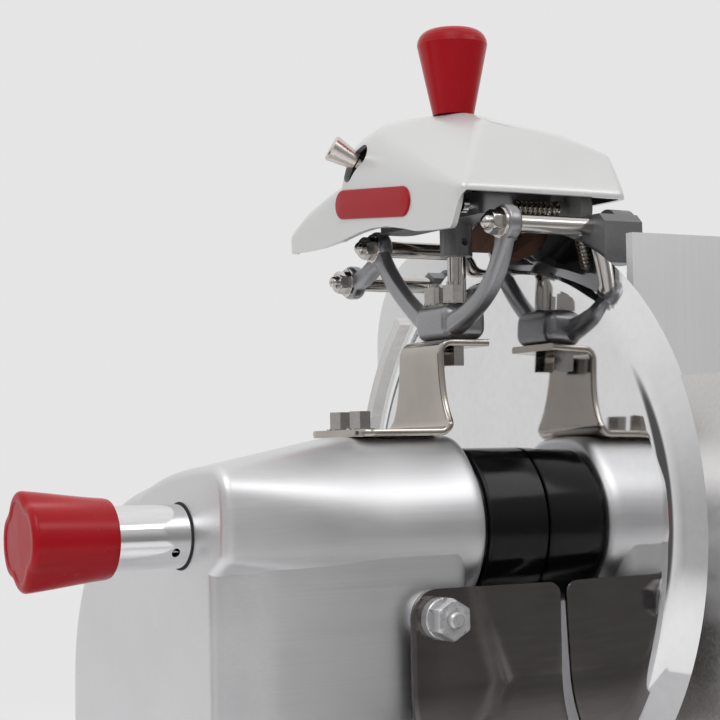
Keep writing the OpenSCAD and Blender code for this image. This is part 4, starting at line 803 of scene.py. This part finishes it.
# finishes: drawn grain where there is a stretch, pebbled skin where there is a size, then the roughnesses and
# colours, the shader's own constants and the nodes that wear the finish
bumpDepth = 0.0006
finishes = {
    "castAluminium": {"stretch": (9, 1100, 1100), "rough": (0.37, 0.46), "dark": (0.68, 0.68, 0.69),
                      "light": (0.74, 0.74, 0.75), "bump": 0.012, "Metallic": 1.0,
                      "nodes": ["head_casting", "base_casting", "deflector_clamp", "press_sleeve"]},
    "satinPlate": {"stretch": (900, 900, 9), "rough": (0.36, 0.46), "dark": (0.69, 0.69, 0.69),
                   "light": (0.74, 0.74, 0.74), "bump": 0.01, "Metallic": 0.20,
                   "nodes": ["carriage_table", "carriage_wall", "press_plate"]},
    "satinNut": {"stretch": (500, 60, 500), "rough": (0.25, 0.35), "dark": (0.52, 0.52, 0.53),
                 "light": (0.60, 0.60, 0.61), "bump": 0.006, "Metallic": 0.55, "nodes": ["deflector_nut"]},
    "rodSteel": {"stretch": (60, 500, 500), "rough": (0.09, 0.17), "dark": (0.50, 0.475, 0.45),
                 "light": (0.60, 0.575, 0.55), "bump": 0.005, "Metallic": 1.0,
                 "nodes": ["guide_rods", "dome_nuts", "hex_bolts", "sharpener_post"]},
    "mirrorSheet": {"stretch": (40, 600, 600), "rough": (0.05, 0.09), "dark": (0.17, 0.155, 0.15),
                    "light": (0.22, 0.205, 0.20), "bump": 0.002, "Metallic": 1.0,
                    "nodes": ["deflector_plate"]},
    "steelSheet": {"stretch": (40, 700, 700), "rough": (0.12, 0.22), "dark": (0.60, 0.59, 0.58),
                   "light": (0.70, 0.69, 0.68), "bump": 0.01, "Metallic": 1.0,
                   "nodes": ["blade_cover", "gauge_plate", "ring_guard", "bottom_plate"]},
    "nickel": {"stretch": (500, 30, 30), "rough": (0.10, 0.20), "dark": (0.40, 0.365, 0.33),
               "light": (0.48, 0.44, 0.40), "bump": 0.008, "Metallic": 1.0, "nodes": ["sharpener_bracket"]},
    "leverNickel": {"stretch": (500, 60, 60), "rough": (0.20, 0.30), "dark": (0.60, 0.55, 0.52),
                    "light": (0.68, 0.63, 0.60), "bump": 0.004, "Metallic": 1.0, "nodes": ["lever_knob"]},
    "chrome": {"stretch": (60, 500, 500), "rough": (0.05, 0.12), "dark": (0.68, 0.68, 0.69),
               "light": (0.78, 0.78, 0.78), "bump": 0.004, "Metallic": 1.0,
               "nodes": ["knob_sleeve", "carriage_rail", "press_rod", "gauge_guide_rod", "lead_screw",
                         "tie_rod", "blade_screws", "blade_hub", "grind_spindle", "deburr_spindle",
                         "bottom_screws", "blade_shaft", "motor_shaft", "shaft_bearings", "driven_pulley",
                         "motor_pulley"]},
    "bladeSteel": {"stretch": (200, 200, 200), "rough": (0.03, 0.06), "dark": (0.74, 0.74, 0.75),
                   "light": (0.80, 0.80, 0.80), "bump": 0.0, "Metallic": 1.0, "nodes": ["blade"]},
    "pearl": {"size": 1500, "rough": (0.30, 0.40), "dark": (0.63, 0.63, 0.625), "light": (0.68, 0.68, 0.675),
              "bump": 0.01, "Metallic": 0.30, "Coat Weight": 0.35, "nodes": ["sharpener_cover"]},
    "greyCasting": {"size": 900, "rough": (0.28, 0.40), "dark": (0.27, 0.27, 0.28),
                    "light": (0.35, 0.35, 0.36), "bump": 0.05, "Metallic": 0.85,
                    "nodes": ["sharpener_fork", "cover_carrier"]},
    "bridgeCasting": {"size": 800, "rough": (0.32, 0.45), "dark": (0.15, 0.15, 0.155),
                      "light": (0.21, 0.21, 0.215), "bump": 0.06, "Metallic": 0.6,
                      "nodes": ["sharpener_bridge", "post_boss"]},
    "darkCasting": {"size": 800, "rough": (0.35, 0.5), "dark": (0.06, 0.061, 0.063),
                    "light": (0.09, 0.091, 0.094), "bump": 0.08, "Metallic": 0.4,
                    "nodes": ["motor_bracket", "gauge_arm", "carriage_leg", "motor"]},
    "blackGloss": {"size": 60, "rough": (0.13, 0.20), "dark": (0.003, 0.003, 0.003),
                   "light": (0.006, 0.006, 0.006), "bump": 0.01, "Specular IOR Level": 0.22,
                   "nodes": ["hub_collar"]},
    "red": {"size": 40, "rough": (0.18, 0.28), "dark": (0.33, 0.003, 0.008), "light": (0.385, 0.005, 0.011),
            "bump": 0.01, "Specular IOR Level": 0.22,
            "nodes": ["blade_knob", "sharpener_knob", "cover_badge", "stop_button"]},
    "green": {"size": 60, "rough": (0.2, 0.3), "dark": (0.012, 0.22, 0.05), "light": (0.016, 0.27, 0.06),
              "bump": 0.01, "nodes": ["start_button"]},
    "blackPlastic": {"size": 1200, "rough": (0.4, 0.55), "dark": (0.012, 0.012, 0.013),
                     "light": (0.022, 0.022, 0.023), "bump": 0.05,
                     "nodes": ["cable_gland", "control_panel", "carriage_handle", "thickness_knob"]},
    "rubber": {"size": 1500, "rough": (0.7, 0.85), "dark": (0.010, 0.010, 0.010),
               "light": (0.022, 0.022, 0.022), "bump": 0.1, "nodes": ["rubber_feet", "drive_belt"]},
    "spring": {"stretch": (300, 300, 300), "rough": (0.25, 0.4), "dark": (0.22, 0.18, 0.12),
               "light": (0.34, 0.28, 0.19), "bump": 0.01, "Metallic": 1.0, "nodes": ["return_spring"]},
    "brownStone": {"size": 1800, "rough": (0.8, 0.95), "dark": (0.09, 0.04, 0.022),
                   "light": (0.20, 0.10, 0.06), "bump": 0.5, "nodes": ["grind_stone"]},
    "greyStone": {"size": 1800, "rough": (0.8, 0.95), "dark": (0.13, 0.13, 0.12), "light": (0.28, 0.28, 0.27),
                  "bump": 0.5, "nodes": ["deburr_stone"]},
}


# a finish: its effect feeds the shader's colour and roughness, and its height a slight bump
def makeFinish(name):
    f = finishes[name]
    mat = bpy.data.materials.new(name)
    mat.use_nodes = True
    tree = mat.node_tree
    shader = tree.nodes["Principled BSDF"]
    effect = addNode(tree, "Group")
    effect.node_tree, size = (grainGroup, "stretch") if "stretch" in f else (pebbleGroup, "size")
    effect.inputs[size.capitalize()].default_value = f[size]
    effect.inputs["Low"].default_value, effect.inputs["High"].default_value = f["rough"]
    effect.inputs["Dark"].default_value = f["dark"] + (1,)
    effect.inputs["Light"].default_value = f["light"] + (1,)
    wire(tree, (effect, "Color", shader, "Base Color"), (effect, "Roughness", shader, "Roughness"))
    if f["bump"] > 0:
        bump = addNode(tree, "Bump", Strength=f["bump"], Distance=bumpDepth)
        wire(tree, (effect, "Height", bump, "Height"), (bump, "Normal", shader, "Normal"))
    for socket in ("Metallic", "Coat Weight", "Specular IOR Level"):
        if socket in f:
            shader.inputs[socket].default_value = f[socket]
    return mat


for name in finishes:
    mat = makeFinish(name)
    for piece in [nodes[n] for n in finishes[name]["nodes"]] + made.get(name, []):
        piece.data.materials.clear()
        piece.data.materials.append(mat)
# the hood's inner faces take the dark casting's colour: painted shade on the pale shell
for piece in made["pearl"]:
    piece.data.materials.append(bpy.data.materials["darkCasting"])  # the hood's inner face
    piece.data.polygons.foreach_set("material_index", shadedLining[piece].astype(int))
cutSlot(made["pearl"][0])
print("finishes worn:", len(finishes))

# floor, sky and lamps: the sky is bright overhead and behind the machine, and dimmer low on the near side;
# each sky is a line of (height from -1 below to 1 above, brightness), and a dark round flag on the left shows
# in the blade; each lamp has a place in metres from the blade's centre, two sides and a power
stage = {"floor": 0.80, "floorRough": 0.9, "behind": 0.785, "fade": (0.55, 1.7),
         "nearSky": [(-0.3, 0.45), (-0.16, 0.28), (0.03, 0.28), (0.14, 0.38), (0.30, 0.55), (0.6, 0.80),
                     (1.0, 1.0)],
         "farSky": [(0.0, 0.76), (0.25, 0.80), (0.6, 0.88), (1.0, 1.0)],
         "lamps": [("keyLamp", (-0.7, -1.0, 1.3), (0.9, 0.9), 6.5),
                   ("topLamp", (0.55, 0.1, 1.15), (1.9, 1.1), 5.0),
                   ("fillLamp", (-1.3, 0.1, 0.5), (1.1, 1.3), 1.6),
                   ("rimLamp", (0.5, 1.1, 1.3), (1.5, 1.2), 5.0),
                   ("bandLamp", (0.51, -0.85, 0.81), (0.8, 0.3), 1.8)],
         "mirrored": ("keyLamp", "bandLamp"), "unspread": "bandLamp", "sides": (-0.25, 0.3),
         "flag": (-0.9, 0.435, 0.03), "flagEdge": (0.968, 0.988), "flagDark": 0.12, "halfFloor": 4.0}


# floor: a flat square whose far parts fade out, so that it has no edge against the background
def makeFloor():
    points = stage["halfFloor"] * np.array([(-1, -1, 0), (1, -1, 0), (1, 1, 0), (-1, 1, 0)], float)
    mesh = bpy.data.meshes.new("paleFloor")
    mesh.from_pydata(points, [], [(0, 1, 2, 3)])
    floor = bpy.data.objects.new("paleFloor", mesh)
    bpy.context.scene.collection.objects.link(floor)
    mat = bpy.data.materials.new("paleFloor")
    mat.use_nodes = True
    tree = mat.node_tree
    shader = tree.nodes["Principled BSDF"]
    shader.inputs["Base Color"].default_value = (stage["floor"],) * 3 + (1,)
    shader.inputs["Roughness"].default_value = stage["floorRough"]
    spot, far = addNode(tree, "TexCoord"), addNode(tree, "VectorMath")
    thin = rangeNode(tree, *stage["fade"], 1.0, 0.0)
    far.operation = "LENGTH"
    thin.interpolation_type = "SMOOTHSTEP"
    wire(tree, (spot, "Object", far, 0), (far, "Value", thin, "Value"), (thin, "Result", shader, "Alpha"))
    mesh.materials.append(mat)


# ramp that follows a line of heights and brightnesses
def skyRamp(tree, line):
    ramp = addNode(tree, "ValToRGB")
    parts = ramp.color_ramp.elements
    while len(parts) < len(line):
        parts.new(0.5)  # its place is set below
    for element, (height, value) in zip(parts, line):
        element.position = (height + 1) / 2
        element.color = (value,) * 3 + (1,)
    return ramp


# sky: the near and the far line mixed from side to side, dimmed by the flag; the camera sees one plain tone
def makeSky():
    world = bpy.data.worlds.new("studio")
    bpy.context.scene.world = world
    world.use_nodes = True
    tree = world.node_tree
    tree.nodes.clear()
    out, spot, part, seen, shown, lit, mix, both, aim, dim = (addNode(tree, kind) for kind in (
        "OutputWorld", "TexCoord", "SeparateXYZ", "LightPath", "Background", "Background", "MixShader", "Mix",
        "VectorMath", "VectorMath"))
    near, far = skyRamp(tree, stage["nearSky"]), skyRamp(tree, stage["farSky"])
    lift, side = rangeNode(tree, -1, 1), rangeNode(tree, *stage["sides"])
    shade = rangeNode(tree, *stage["flagEdge"], 1.0, stage["flagDark"])
    shade.interpolation_type = "SMOOTHSTEP"
    both.data_type = "RGBA"
    aim.operation, dim.operation = "DOT_PRODUCT", "SCALE"
    aim.inputs[1].default_value = stage["flag"]
    shown.inputs["Color"].default_value = (stage["behind"],) * 3 + (1,)
    wire(tree, (spot, "Generated", part, 0), (part, "Z", lift, "Value"), (part, "Y", side, "Value"),
         (lift, "Result", near, "Fac"), (lift, "Result", far, "Fac"), (side, "Result", both, "Factor"),
         (near, "Color", both, "A"), (far, "Color", both, "B"), (spot, "Generated", aim, 0),
         (aim, "Value", shade, "Value"), (both, "Result", dim, 0), (shade, "Result", dim, "Scale"),
         (dim, "Vector", lit, "Color"), (seen, "Is Camera Ray", mix, 0), (lit, 0, mix, 1), (shown, 0, mix, 2),
         (mix, 0, out, "Surface"))


# lamps: soft rectangles that all face the blade
def makeLamps():
    for name, place, size, power in stage["lamps"]:
        lamp = bpy.data.lights.new(name, "AREA")
        lamp.shape = "RECTANGLE"
        lamp.size, lamp.size_y = size
        lamp.energy = power
        holder = bpy.data.objects.new(name, lamp)
        place = Vector(place) + Vector(bladeCentre)
        aim = (Vector(bladeCentre) - place).to_track_quat("-Z", "Y")
        holder.matrix_world = Matrix.Translation(place) @ aim.to_matrix().to_4x4()
        holder.visible_glossy = name in stage["mirrored"]  # the others would show as white patches
        holder.visible_diffuse = name != stage["unspread"]  # this one only draws the bright band on the head
        bpy.context.scene.collection.objects.link(holder)


makeFloor()
makeSky()
makeLamps()
print("stage set")
